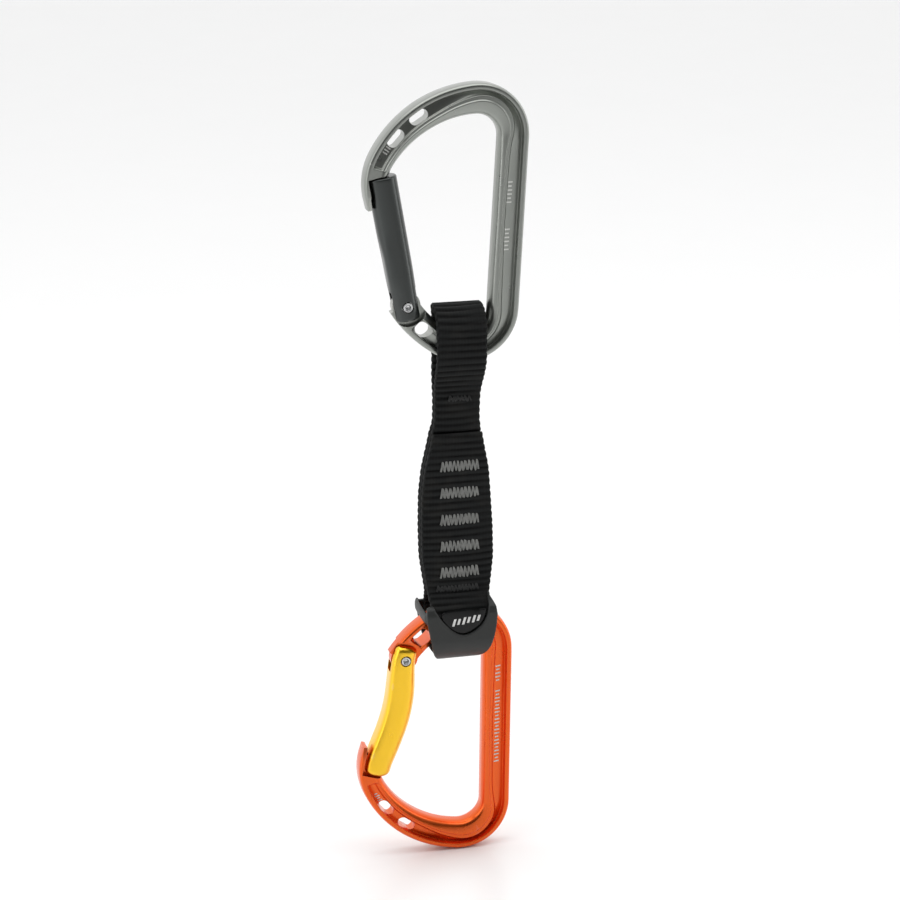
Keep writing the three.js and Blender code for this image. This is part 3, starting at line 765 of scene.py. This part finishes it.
def finger_end():
    """Takes away what lies below the finger, leaving its tip rounded."""
    middle, half, drop = -6.65, 1.3, 0.9
    top = NOSE_TIP + drop
    tip = []
    for x in np.linspace(middle - half, middle + half, 20):
        off = (x - middle) / half
        tip.append((x, top - drop * math.sqrt(1 - off**4)))
    return prism([(14, 20), (-14, 20), (-14, top), *tip, (14, top)], -7, 7)


def bar_solid(step):
    """The forged bar in its own frame, its foot, nose, slots and hole machined."""
    length = bar_length()
    fine = [*np.arange(6.6, 9.2, 0.15), *np.arange(166.8, 169.4, 0.15)]
    distances = sorted({round(float(d), 3) for d in (*np.arange(0, length, step), *fine, length)})
    piece = new_object("bar", skin([bar_ring(d) for d in distances]))
    pin = GATE_PIN
    shoulders = joined(
        [disc(*pin, SHOULDER_RADIUS, TONGUE_HALF, 7, 96), disc(*pin, SHOULDER_RADIUS, -7, -TONGUE_HALF, 96)]
    )
    combine(piece, shoulders)
    combine(piece, disc(*pin, TONGUE_RADIUS, -TONGUE_HALF, TONGUE_HALF, 96), "UNION")
    to_bar = gate_to_bar()
    hole = softened([(-3.2, -2.2), (3.4, -2.4), (3.0, 1.6), (0.6, 2.9), (-2.6, 1.9)])
    web_cuts = [in_web(*WEB_HOLE, hole)] + [in_web(*place, slot_outline()) for place in SLOTS]
    combine(piece, joined([disc(*pin, PIN_RADIUS + 0.3, -3, 3), *web_cuts]))
    combine(piece, moved(block(1.1, 9, -3, 3, 2.4, 9), to_bar))
    combine(piece, moved(nose_pocket(), to_bar))
    combine(piece, moved(finger_end(), to_bar))
    # The finger narrows from front to back toward its tip.
    low, high = NOSE_TIP - 1, NOSE_TIP + 7
    for side in (-1, 1):
        wedge = [(side * y, z) for y, z in ((2.5, low), (4.4, high), (7, high), (7, low))]
        combine(piece, moved(along_x(wedge, -10, -FINGER_INSIDE + 0.4), to_bar))
    key_half, key_foot, key_depth = KEY
    key = rounded([(-6.2, key_foot), (key_depth, key_foot), (key_depth, 47.2)], (0.5,), 5)
    key += [(-4.6, 47.2), (-6.2, 42.5)]
    combine(piece, moved(prism(key, -key_half, key_half), to_bar), "UNION")
    return piece


def build_carabiners(scene):
    """Both frames from one forging, the lower one turned over, as in the part."""
    sizes, finishes = scene.quickdraw_sizes, scene.quickdraw_finishes
    bar = bar_solid(sizes.station / MM)
    grey = anodised_aluminium("Satin grey anodised aluminium", finishes.grey, 0.3, 0.25, 0.35)
    orange = anodised_aluminium("Gloss orange anodised aluminium", finishes.orange, 0.27, 0.35, 0.08)
    for side, material, slot in (("upper", grey, "grey_anodised"), ("lower", orange, "orange_anodised")):
        mesh = bar.data.copy()
        place = carabiner_place(side)
        mesh.transform(Matrix.Translation(place.to_translation() * MM) @ place.to_3x3().to_4x4())
        piece = bpy.data.objects.new(f"{side}_forged_bar", mesh)
        scene.collection.objects.link(piece)
        mesh.materials.clear()
        mesh.materials.append(material)
        smooth_shaded(piece, 38)
        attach(piece, f"{side}_carabiner")
        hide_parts(f"{side}_carabiner_body")
    bpy.data.objects.remove(bar)


# ------------------------------------------------------------------------------------ gates


def gate_ring(shape, z, inset, sides=72):
    """Outline across the gate: round toward the inside and flatter toward the outside."""
    centre = shape["bow"] * math.sin(math.pi * min(max(z / 40, 0), 1)) ** 1.3
    inward, outward = eased(shape["inward"], z, 2) - inset, eased(shape["outward"], z, 2) - inset
    box, depth = eased(shape["box"], z, 2), GATE_HALF_DEPTH - inset
    ring = []
    for i in range(sides):
        angle = 2 * math.pi * (i + 0.5) / sides
        c, s = math.cos(angle), math.sin(angle)
        reach, power = (inward, 1.0) if c > 0 else (outward, box)
        x = math.copysign(reach * abs(c) ** power, c)
        ring.append((centre + x, math.copysign(depth * abs(s) ** power, s), z))
    return ring


def gate_solid(shape):
    """Gate with rounded ends, tongue slot, pin hole, spring bore and key slot."""
    ending = shape["ending"]
    arc = np.linspace(0, math.pi / 2, 7)
    levels = [(GATE_FOOT + ending * (1 - math.cos(t)), ending * (1 - math.sin(t))) for t in arc]
    levels += [(z, 0.0) for z in np.arange(GATE_FOOT + ending + 0.6, GATE_TOP - ending - 0.3, 0.7)]
    levels += [(GATE_TOP - ending * (1 - math.cos(t)), ending * (1 - math.sin(t))) for t in arc[::-1]]
    rings = [gate_ring(shape, z, inset) for z, inset in levels]
    piece = new_object("gate", skin(rings))
    tongue, key = TONGUE_HALF + 0.3, KEY[0] + 0.3
    foot = rounded([(-9, -9), (-9, SLOT_TOP), (9, SLOT_TOP), (9, -9)], (0.1, 0.1), 2)
    combine(piece, prism(foot, -tongue, tongue))
    combine(piece, disc(0, 0, PIN_RADIUS + 0.3, -8, 8))
    offset, bore_radius, bore_top = BORE
    turns = [2 * math.pi * i / 32 for i in range(32)]
    bore = [
        [(offset + bore_radius * math.cos(t), bore_radius * math.sin(t), z) for t in turns]
        for z in (SLOT_TOP - 2, bore_top)
    ]
    combine(piece, skin(bore))
    # The key slot runs out on the gate's outer side with a round end.
    middle = KEY[1] - 0.6 + key
    turns = [math.radians(a) for a in range(0, 181, 12)]
    arch = [(key * math.cos(t), middle - key * math.sin(t)) for t in turns] + [(-key, 49), (key, 49)]
    combine(piece, skin([[(x, y, z) for y, z in arch] for x in (-9, KEY[2] + 0.4)]))
    return piece


STRAIGHT_GATE = {
    "bow": 0.0, "ending": 0.7,
    "inward": ((-4.8, 4.3), (4, 4.4), (12, 4.6), (44.2, 4.6)),
    "outward": ((-4.8, 4.4), (0, 4.6), (6, 4.7), (18, 4.8), (24, 5.2), (44.2, 5.4)),
    "box": ((-4.8, 0.95), (5, 0.9), (9, 0.6), (19, 0.6), (25, 0.9), (44.2, 0.95)),
}
BENT_GATE = {
    "bow": 2.2, "ending": 2.0,
    "inward": ((-4.8, 4.2), (2, 4.5), (12, 5.1), (36, 5.2), (44.2, 4.6)),
    "outward": ((-4.8, 4.2), (2, 4.6), (10, 4.9), (44.2, 4.9)),
    "box": ((-4.8, 0.7), (5, 0.5), (36, 0.5), (44.2, 0.75)),
}


def rivet_geometry():
    half = 4.7
    corners = [
        (0.02, 1.15 - half), (0.75, 1.0 - half), (0.95, 0.1 - half), (1.2, -half), (1.5, -half),
        (PIN_RADIUS, 0.3 - half),
    ]
    end = rounded(corners, (0.3, 0.2, 0.2, 0.15), 4)
    return turned_profile([*end, *[np.array((r, -h)) for r, h in reversed(end)]])


def plunger_geometry():
    corners = [(0.02, 2.7), (0.6, 2.7), (0.95, 3.2), (0.95, 10.5), (0.7, 10.7), (0.02, 10.7)]
    profile = rounded(corners, (0.2, 0.3, 0.1, 0.1), 4)
    vertices, faces = turned_profile(profile, 36)
    return np.stack([vertices[:, 0] + BORE[0], vertices[:, 2], vertices[:, 1]], 1), faces


def spring_geometry():
    """Coil between the plunger's end and the end of its bore."""
    foot, top = SPRING_ENDS
    turns = np.linspace(0, 1, SPRING_TURNS * 20)
    angles = 2 * math.pi * SPRING_TURNS * turns
    coil = [
        (BORE[0] + SPRING_RADIUS * math.cos(a), SPRING_RADIUS * math.sin(a), foot + (top - foot) * t)
        for a, t in zip(angles, turns)
    ]
    return tube(coil, SPRING_WIRE, 8)


def gate_place(side):
    return carabiner_place(side) @ gate_to_bar()


def place_piece(piece, matrix):
    """Moves a piece's mesh by a matrix whose shift is in millimetres."""
    piece.data.transform(Matrix.Translation(matrix.to_translation() * MM) @ matrix.to_3x3().to_4x4())


def build_gates(scene):
    finishes = scene.quickdraw_finishes
    black = anodised_aluminium("Satin black anodised aluminium", finishes.black, 0.34, 0.3, 0.1)
    gold = anodised_aluminium("Gloss gold anodised aluminium", finishes.gold, 0.3, 0.5, 0.1)
    kinds = (("upper", STRAIGHT_GATE, black, "black_anodised"), ("lower", BENT_GATE, gold, "gold_anodised"))
    for side, shape, material, slot in kinds:
        piece = gate_solid(shape)
        piece.name = f"{side}_machined_gate"
        place_piece(piece, gate_place(side))
        piece.data.materials.clear()
        piece.data.materials.append(material)
        smooth_shaded(piece, 38)
        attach(piece, f"{side}_gate")
        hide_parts(f"{side}_gate")


def build_gate_hardware(scene):
    steel = stainless_steel()
    for side in ("upper", "lower"):
        rivet = new_object(f"{side}_hollow_rivet", rivet_geometry(), steel)
        plunger = new_object(f"{side}_turned_plunger", plunger_geometry(), steel)
        for piece, body, node in ((rivet, "gate", "gate_rivet"), (plunger, "plunger", "gate_plunger")):
            place_piece(piece, gate_place(side))
            smooth_shaded(piece, 40)
            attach(piece, f"{side}_{body}")
            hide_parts(f"{side}_{node}")
        place = gate_place(side)
        spring = new_object(f"{side}_coil_spring", spring_geometry(), steel)
        place_piece(spring, place)
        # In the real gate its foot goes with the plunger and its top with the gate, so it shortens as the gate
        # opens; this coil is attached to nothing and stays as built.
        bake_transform(smooth_shaded(spring, 60))
        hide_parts(f"{side}_gate_spring")


# ------------------------------------------------------------------------------------ sling


def strap_route(spacing):
    """Middle line of the strap in y and z: flap, lower loop, back, upper loop, then between the two."""
    outer = (7.4 - STRAP_LAYER) / 2 + 0.03
    neck = STRAP_LAYER / 2 + 0.03
    upper, lower = UPPER_LOOP, LOWER_LOOP

    def leg(z):
        """Distance of the outer leg from the middle plane at a height."""
        in_neck = neck + (outer - neck) * smooth_step(z, -104.5, -109.5)
        to_upper = (upper["radius"] - neck) * smooth_step(z, upper["joined"], upper["fork"] + 0.8)
        to_lower = (lower["radius"] - outer) * smooth_step(z, lower["joined"], lower["fork"] - 0.8)
        return in_neck + to_upper + to_lower

    points = [(-leg(z), z) for z in np.arange(FLAP_TOP, lower["crown"], -0.2)]
    for a in np.linspace(0, math.pi, 90):
        points.append((-lower["radius"] * math.cos(a), lower["crown"] - lower["radius"] * math.sin(a)))
    points += [(leg(z), z) for z in np.arange(lower["crown"] + 0.2, upper["crown"], 0.2)]
    for a in np.linspace(0, math.pi, 90):
        points.append((upper["radius"] * math.cos(a), upper["crown"] + upper["radius"] * math.sin(a)))
    for z in np.arange(upper["crown"] - 0.2, MIDDLE_END, -0.2):
        points.append((-leg(z) * (1 - smooth_step(z, -105, -109.5)) if z < -104 else -leg(z), z))
    points = np.array(points)
    steps = np.linalg.norm(np.diff(points, axis=0), axis=1)
    keep = np.concatenate([[True], steps > 1e-6])
    points = points[keep]
    run = np.concatenate([[0], np.cumsum(np.linalg.norm(np.diff(points, axis=0), axis=1))])
    places = np.arange(0, run[-1], spacing)
    return places, np.stack([np.interp(places, run, points[:, i]) for i in (0, 1)], 1)


def strap_geometry(pitch, depth):
    """Ribbed strap with serrated edges and closed ends, and each vertex's height on its rib, which the webbing
    material turns into painted groove shade and rib-top highlight.
    """
    places, route = strap_route(pitch / 8)
    ahead = np.gradient(route, axis=0)
    ahead /= np.linalg.norm(ahead, axis=1)[:, None]
    across = np.linspace(-1, 1, 15)
    edge = [math.radians(a) for a in (-60, -25, 25, 60)]
    rings, crests = [], []
    last = places[-1]
    for i, (place, (y, z), (dy, dz)) in enumerate(zip(places, route, ahead)):
        half_width = eased(STRAP_WIDTHS, z, 2) / 2
        # The back leg of the upper eye sits a little to the right of the front one.
        skew = BACK_LEG_SKEW * max(0.0, y - 1.25) * smooth_step(z, -104, -96)
        centre = eased(STRAP_CENTRES, z, 2) + skew
        ending = min(1.0, 0.35 + min(place, last - place) / 0.9)
        half = STRAP_LAYER / 2 * ending
        normal = (-dz, dy)

        def rib(u, phase=0.0):
            wobble = 0.16 * math.sin(place * 0.11 + 1.3 * u) + 0.1 * u * u
            return abs(math.sin(math.pi * (place / pitch + wobble + phase))) ** 0.8

        ring = []
        serration = 0.3 * rib(1.0) - 0.3
        for u in across:
            ring.append((u * (half_width - 0.75), half - depth * (1 - rib(u))))
        for a in edge[::-1]:
            ring.append((half_width - 0.75 + (0.75 + serration) * math.cos(a), (half - 0.25) * math.sin(a)))
        for u in across[::-1]:
            ring.append((u * (half_width - 0.75), -half + depth * (1 - rib(u, 0.5))))
        for a in edge:
            ring.append((-half_width + 0.75 - (0.75 + serration) * math.cos(a), (half - 0.25) * math.sin(a)))
        rings.append([(centre + x, y + n * normal[0], z + n * normal[1]) for x, n in ring])
        crests += [rib(u) for u in across] + [rib(1.0)] * 4 + [rib(u, 0.5) for u in across] + [rib(1.0)] * 4
    return skin(rings), crests


def build_webbing(scene):
    sizes = scene.quickdraw_sizes
    material = woven_webbing(scene.quickdraw_finishes.webbing)
    geometry, crests = strap_geometry(sizes.rib_pitch / MM, sizes.rib_depth / MM)
    strap = new_object("ribbed_strap", geometry, material)
    # The crest attribute carries the painted shade of the rib grooves and the painted highlight of the rib tops.
    strap.data.attributes.new("crest", "FLOAT", "POINT").data.foreach_set("value", crests)
    smooth_shaded(strap, 75)
    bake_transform(strap)
    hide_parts("sling_upper_eye", "sling_sewn_stretch", "sling_lower_eye")


def zigzag(centre, z, width, height, face, count, seed):
    """Row of slanting stitches on one face of the sling, each dipping into the strap at both ends."""
    chance = random.Random(seed)
    side = math.copysign(1, face)
    points, turns = [], 2 * count + 1
    for i in range(turns):
        x = centre - width / 2 + width * i / (turns - 1) + chance.uniform(-0.12, 0.12)
        up = height / 2 if i % 2 else -height / 2
        points.append((x, z + up + chance.uniform(-0.3, 0.3)))
    path = []
    for (x0, z0), (x1, z1) in zip(points, points[1:]):
        for t in np.linspace(0, 1, 8)[:-1]:
            rise = math.sin(math.pi * t) ** 0.4 if 0 < t < 1 else 0.0
            path.append((x0 + (x1 - x0) * t, face + side * (0.62 * rise - 0.45), z0 + (z1 - z0) * t))
    return path


def tack_geometry(centre, z, width, height, surface, thread, count, seed):
    parts = []
    for face in (-surface, surface):
        for layer in range(2):
            path = zigzag(centre + 0.3 * layer, z - 0.15 * layer, width, height, face, count, seed + layer)
            parts.append(tube(path, thread))
    return joined(parts)


def build_stitching(scene):
    thread = scene.quickdraw_sizes.thread / MM
    grey = sewing_thread("Bonded grey polyester thread", scene.quickdraw_finishes.tack_thread)
    black = sewing_thread("Bonded black polyester thread", linear("#232424"))
    for i in range(5):
        z = TACK_FIRST - i * TACK_PITCH
        geometry = tack_geometry(TACK_CENTRE, z, 13.3, 4.2, 3.7, thread, 10, 11 + 5 * i)
        tack = new_object(f"stitched_tack_{i + 1}", geometry, grey)
        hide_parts(f"bar_tack_{i + 1}")
        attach(smooth_shaded(tack, 60), "sling")
    places = (("neck", -5.9, -95.9, 7.7, 2.0, 2.5, 6), ("foot", -7.0, -163.6, 14.6, 2.4, 3.7, 12))
    for name, x, z, width, height, surface, count in places:
        geometry = tack_geometry(x, z, width, height, surface, thread, count, 71)
        tack = new_object(f"stitched_{name}_tack", geometry, black)
        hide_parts(f"{name}_tack")
        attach(smooth_shaded(tack, 60), "sling")


# --------------------------------------------------------------------------------- retainer


def cup_outline(grow):
    """Closed outline in y and z round the lower loop, as far from it as asked."""
    loop = LOWER_LOOP
    radius = loop["radius"] + STRAP_LAYER / 2 + grow
    turns = np.linspace(0, math.pi, 60)
    points = [(radius * math.cos(a), loop["crown"] - radius * math.sin(a)) for a in turns]
    side = [
        (radius, -171.6), (radius * 0.93, -169.6), (radius * 0.74, -167.8), (4.3 + grow, -165.6),
        (4.0 + grow, -160),
    ]
    return [*points, *[(-y, z) for y, z in side], *reversed(side)]


def side_strip(x, swell, low, high):
    """Rubber strip from the front wall to the back wall past one edge of the strap, swelling outward."""
    rings = []
    for y in np.linspace(-8.6, 8.6, 25):
        middle = x + swell * math.sqrt(1 - (y / 8.6) ** 4)
        half_height = (high - low) / 2
        turns = [2 * math.pi * i / 16 for i in range(16)]
        centre = (low + high) / 2
        ring = []
        for t in turns:
            across = math.copysign(abs(math.cos(t)) ** 0.8, math.cos(t))
            ring.append((middle + STRIP_HALF * across, y, centre + half_height * math.sin(t)))
        rings.append(ring)
    return skin(rings)


def retainer_solid(voxel):
    """Rubber cup with a front window and a strip over each side, above the bar."""
    piece = new_object("cup", along_x(cup_outline(1.75), -30, 14))
    combine(piece, along_x(cup_outline(0.3), -32, 16))
    combine(piece, prism(softened(RETAINER_SIDES, 2), -14, 14), "INTERSECT")
    top = [(-25, -150), (-25, -169.8), (-14, -168.0), (-2, -166.6), (3, -165.2), (12, -165.2), (12, -150)]
    combine(piece, prism(top, -14, 0))
    combine(piece, block(-25, 12, 0, 14, -171.6, -150))
    combine(piece, prism(softened(WINDOW, 2), -14, 0))
    for strip in SIDE_STRIPS:
        combine(piece, side_strip(*strip), "UNION")
    remesh = piece.modifiers.new("round", "REMESH")
    remesh.mode = "VOXEL"
    remesh.voxel_size = voxel
    soften = piece.modifiers.new("soften", "SMOOTH")
    soften.factor = 0.5
    soften.iterations = 6
    apply_modifiers(piece)
    return piece


def badge_geometry():
    """Thin glossy plate with a rounded edge."""
    outline = softened(BADGE, 3)
    middle = np.mean(outline, axis=0)
    back = -(LOWER_LOOP["radius"] + STRAP_LAYER / 2 + 0.25)
    levels = ((0.0, 1.0), (-0.45, 1.0), (-0.62, 0.985), (-0.7, 0.95))
    outline = np.array(outline)
    return skin([[(x, back + rise, z) for x, z in middle + (outline - middle) * scale] for rise, scale in levels])


def build_retainer(scene):
    piece = retainer_solid(scene.quickdraw_sizes.rubber_voxel)
    piece.name = "moulded_retainer"
    piece.data.materials.clear()
    piece.data.materials.append(moulded_rubber(scene.quickdraw_finishes.rubber))
    piece.data.shade_smooth()
    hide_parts("rubber_retainer")
    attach(piece, "sling")
    badge = new_object("gloss_badge_plate", badge_geometry(), polished_plastic())
    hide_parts("retainer_badge")
    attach(smooth_shaded(badge, 40), "sling")


# --------------------------------------------------------------------------------- markings


def bar_mark(distance, outward, length, width, side):
    """Small plain bar laid on the channel floor, in the carabiner's frame. side is the face it is on."""
    x, z, heading = bar_point(distance)
    ahead = np.array((math.cos(heading), math.sin(heading)))
    across = np.array((math.sin(heading), -math.cos(heading)))
    half = eased(BAR_WIDTH, distance) / 2
    crown_foot = -half + eased(LEDGE_EDGE, distance) + 0.5
    wall_foot = half - OUTER_LIP - 0.25
    corners = []
    a_half, b_half = length / 2, width / 2
    for a, b in ((-a_half, -b_half), (a_half, -b_half), (a_half, b_half), (-a_half, b_half)):
        u = outward + b
        t = (u - crown_foot) / (wall_foot - crown_foot)
        depth = WEB_HALF[0] + (WEB_HALF[1] - WEB_HALF[0]) * t
        flat = np.array((x, z)) + a * ahead + u * across
        corners.append((flat, depth))
    rings = [[(flat[0], side * (depth + lift), flat[1]) for flat, depth in corners] for lift in (-0.05, 0.02)]
    return skin(rings)


def ladder(start, count, pitch, outward, sizes, side):
    """Row of short plain bars along the bar."""
    return [bar_mark(start + i * pitch, outward, *sizes[i % len(sizes)], side) for i in range(count)]


def build_markings(scene):
    """Plain generic marks: ladders of short bars with no lettering."""
    bleached = pale_mark("Laser-bleached oxide", "#E8E8E4", 0.3, 0.5)
    ink = pale_mark("Pad-printed white ink", "#F2F2F0", 0.0, 0.45)
    short = ((0.5, 1.9), (0.5, 1.3), (0.5, 1.9))
    spine_upper = ladder(84.4, 6, 1.35, -0.6, short, -1) + ladder(68.5, 6, 1.35, -0.6, short, -1)
    nose_upper = ladder(160.6, 3, 1.0, 0.6, ((0.45, 1.6),), -1)
    spine_lower = ladder(54.5, 5, 1.35, 0.1, short, 1) + ladder(64, 21, 1.35, 0.1, short, 1)
    nose_lower = ladder(160.6, 4, 0.95, 0.6, ((0.45, 1.7), (0.45, 1.1)), 1)
    for side, parts in (("upper", spine_upper + nose_upper), ("lower", spine_lower + nose_lower)):
        piece = new_object(f"{side}_laser_marks", moved(joined(parts), carabiner_place(side)), bleached)
        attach(piece, f"{side}_carabiner")
    front = -(LOWER_LOOP["radius"] + STRAP_LAYER / 2 + 0.25 + 0.7)
    strokes = [(-9.6 + 1.75 * i, -174.6 + 0.22 * i, 0.42, 2.6 - 0.5 * (i % 2)) for i in range(6)]
    parts = []
    for x, z, half_width, height in strokes:
        lean = 0.3 * height
        outline = [
            (x - half_width, z - height / 2), (x + half_width, z - height / 2),
            (x + half_width + lean, z + height / 2), (x - half_width + lean, z + height / 2),
        ]
        parts.append(prism(outline, front - 0.03, front + 0.05))
    piece = new_object("badge_strokes", joined(parts), ink)
    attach(piece, "sling")


# ------------------------------------------------------------------------------------ stage


def build_stage(scene):
    studio = scene.quickdraw_studio
    floor_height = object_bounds()[0].z / MM
    floor = new_object(
        "studio_floor",
        ([(x * 6000, y * 6000, floor_height) for x, y in ((-1, -1), (1, -1), (1, 1), (-1, 1))], [(0, 1, 2, 3)]),
        studio_paint(studio.floor),
    )
    floor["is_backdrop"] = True
    world = bpy.data.worlds.new("Soft white studio")
    world.use_nodes = True
    tree = world.node_tree
    tree.nodes.clear()
    direction = add_node(tree, "ShaderNodeTexCoord").outputs["Generated"]
    parts = add_node(tree, "ShaderNodeSeparateXYZ", links={"Vector": direction})
    # The open front of the studio, on the -Y side, is dimmer than its white walls.
    front = add_node(
        tree, "ShaderNodeMapRange",
        {"interpolation_type": "SMOOTHSTEP", "From Min": -0.85, "From Max": 0.0, "To Min": 0.12, "To Max": 1.12},
        {"Value": parts.outputs["Y"]},
    )
    background = add_node(
        tree, "ShaderNodeBackground", {"Color": (1, 1, 1, 1)}, {"Strength": front.outputs["Result"]}
    )
    add_node(tree, "ShaderNodeOutputWorld", links={"Surface": background.outputs["Background"]})
    scene.world = world
    centre = Vector(studio.aim)
    lights = (
        ("Overhead softbox", (0.0, -0.1, 1.2), (1.6, 1.2), 7.0),
        ("Left softbox", (-1.3, -0.35, 0.35), (0.5, 1.2), 2.5),
        ("Right softbox", (1.3, -0.2, 0.3), (0.4, 1.2), 2.5),
    )
    for name, offset, size, power in lights:
        data = bpy.data.lights.new(name, "AREA")
        data.shape = "RECTANGLE"
        data.size, data.size_y = size
        data.energy = power
        light = bpy.data.objects.new(name, data)
        light.location = centre + Vector(offset)
        light.rotation_euler = (-Vector(offset)).to_track_quat("-Z", "Y").to_euler()
        scene.collection.objects.link(light)
    a, e = studio.azimuth, studio.elevation
    back = Vector((math.sin(a) * math.cos(e), -math.cos(a) * math.cos(e), math.sin(e)))
    data = bpy.data.cameras.new("Product camera")
    data.lens = studio.lens
    data.sensor_width = 36
    data.clip_start, data.clip_end = 0.01, 50
    camera = bpy.data.objects.new("Product camera", data)
    camera.location = centre + back * studio.distance
    camera.rotation_euler = (-back).to_track_quat("-Z", "Y").to_euler()
    scene.collection.objects.link(camera)
    scene.camera = camera
    scene.view_settings.view_transform = "Standard"


# -------------------------------------------------------------------------------- operators


class QUICKDRAW_OT_carabiners(bpy.types.Operator):
    """Make the two forged carabiner frames"""

    bl_idname = "quickdraw.carabiners"
    bl_label = "Carabiner frames"

    def execute(self, context):
        build_carabiners(context.scene)
        return {"FINISHED"}


class QUICKDRAW_OT_gates(bpy.types.Operator):
    """Make the straight and the bent gate"""

    bl_idname = "quickdraw.gates"
    bl_label = "Gates"

    def execute(self, context):
        build_gates(context.scene)
        return {"FINISHED"}


class QUICKDRAW_OT_gate_hardware(bpy.types.Operator):
    """Make the gates' rivets, plungers and springs"""

    bl_idname = "quickdraw.gate_hardware"
    bl_label = "Gate hardware"

    def execute(self, context):
        build_gate_hardware(context.scene)
        return {"FINISHED"}


class QUICKDRAW_OT_webbing(bpy.types.Operator):
    """Make the sling's ribbed strap"""

    bl_idname = "quickdraw.webbing"
    bl_label = "Webbing"

    def execute(self, context):
        build_webbing(context.scene)
        return {"FINISHED"}


class QUICKDRAW_OT_stitching(bpy.types.Operator):
    """Make the sling's bar tacks"""

    bl_idname = "quickdraw.stitching"
    bl_label = "Stitching"

    def execute(self, context):
        build_stitching(context.scene)
        return {"FINISHED"}


class QUICKDRAW_OT_retainer(bpy.types.Operator):
    """Make the rubber retainer and its badge"""

    bl_idname = "quickdraw.retainer"
    bl_label = "Retainer"

    def execute(self, context):
        build_retainer(context.scene)
        return {"FINISHED"}


class QUICKDRAW_OT_markings(bpy.types.Operator):
    """Make the plain generic marks"""

    bl_idname = "quickdraw.markings"
    bl_label = "Markings"

    def execute(self, context):
        build_markings(context.scene)
        return {"FINISHED"}


class QUICKDRAW_OT_stage(bpy.types.Operator):
    """Set up the floor, lights and camera"""

    bl_idname = "quickdraw.stage"
    bl_label = "Stage"

    def execute(self, context):
        build_stage(context.scene)
        return {"FINISHED"}


OPERATORS = (
    QUICKDRAW_OT_carabiners,
    QUICKDRAW_OT_gates,
    QUICKDRAW_OT_gate_hardware,
    QUICKDRAW_OT_webbing,
    QUICKDRAW_OT_stitching,
    QUICKDRAW_OT_retainer,
    QUICKDRAW_OT_markings,
    QUICKDRAW_OT_stage,
)


class QUICKDRAW_PT_panel(bpy.types.Panel):
    """Lists the quickdraw's pieces and their settings"""

    bl_idname = "QUICKDRAW_PT_panel"
    bl_label = "Climbing quickdraw"
    bl_space_type = "VIEW_3D"
    bl_region_type = "UI"
    bl_category = "Quickdraw"

    def draw(self, context):
        column = self.layout.column()
        for operator in OPERATORS:
            column.operator(operator.bl_idname)
        scene = context.scene
        for group in (scene.quickdraw_sizes, scene.quickdraw_finishes, scene.quickdraw_studio):
            for name in group.bl_rna.properties.keys():
                if name not in {"rna_type", "name"}:
                    column.prop(group, name)


CLASSES = (QuickdrawSizes, QuickdrawFinishes, QuickdrawStudio, *OPERATORS, QUICKDRAW_PT_panel)


def register():
    for kind in CLASSES:
        bpy.utils.register_class(kind)
    bpy.types.Scene.quickdraw_sizes = bpy.props.PointerProperty(type=QuickdrawSizes)
    bpy.types.Scene.quickdraw_finishes = bpy.props.PointerProperty(type=QuickdrawFinishes)
    bpy.types.Scene.quickdraw_studio = bpy.props.PointerProperty(type=QuickdrawStudio)


def unregister():
    del bpy.types.Scene.quickdraw_studio
    del bpy.types.Scene.quickdraw_finishes
    del bpy.types.Scene.quickdraw_sizes
    for kind in reversed(CLASSES):
        bpy.utils.unregister_class(kind)


def main():
    register()
    bpy.ops.quickdraw.carabiners()
    bpy.ops.quickdraw.gates()
    bpy.ops.quickdraw.gate_hardware()
    bpy.ops.quickdraw.webbing()
    bpy.ops.quickdraw.stitching()
    bpy.ops.quickdraw.retainer()
    bpy.ops.quickdraw.markings()
    bpy.ops.quickdraw.stage()


if __name__ == "__main__":
    main()
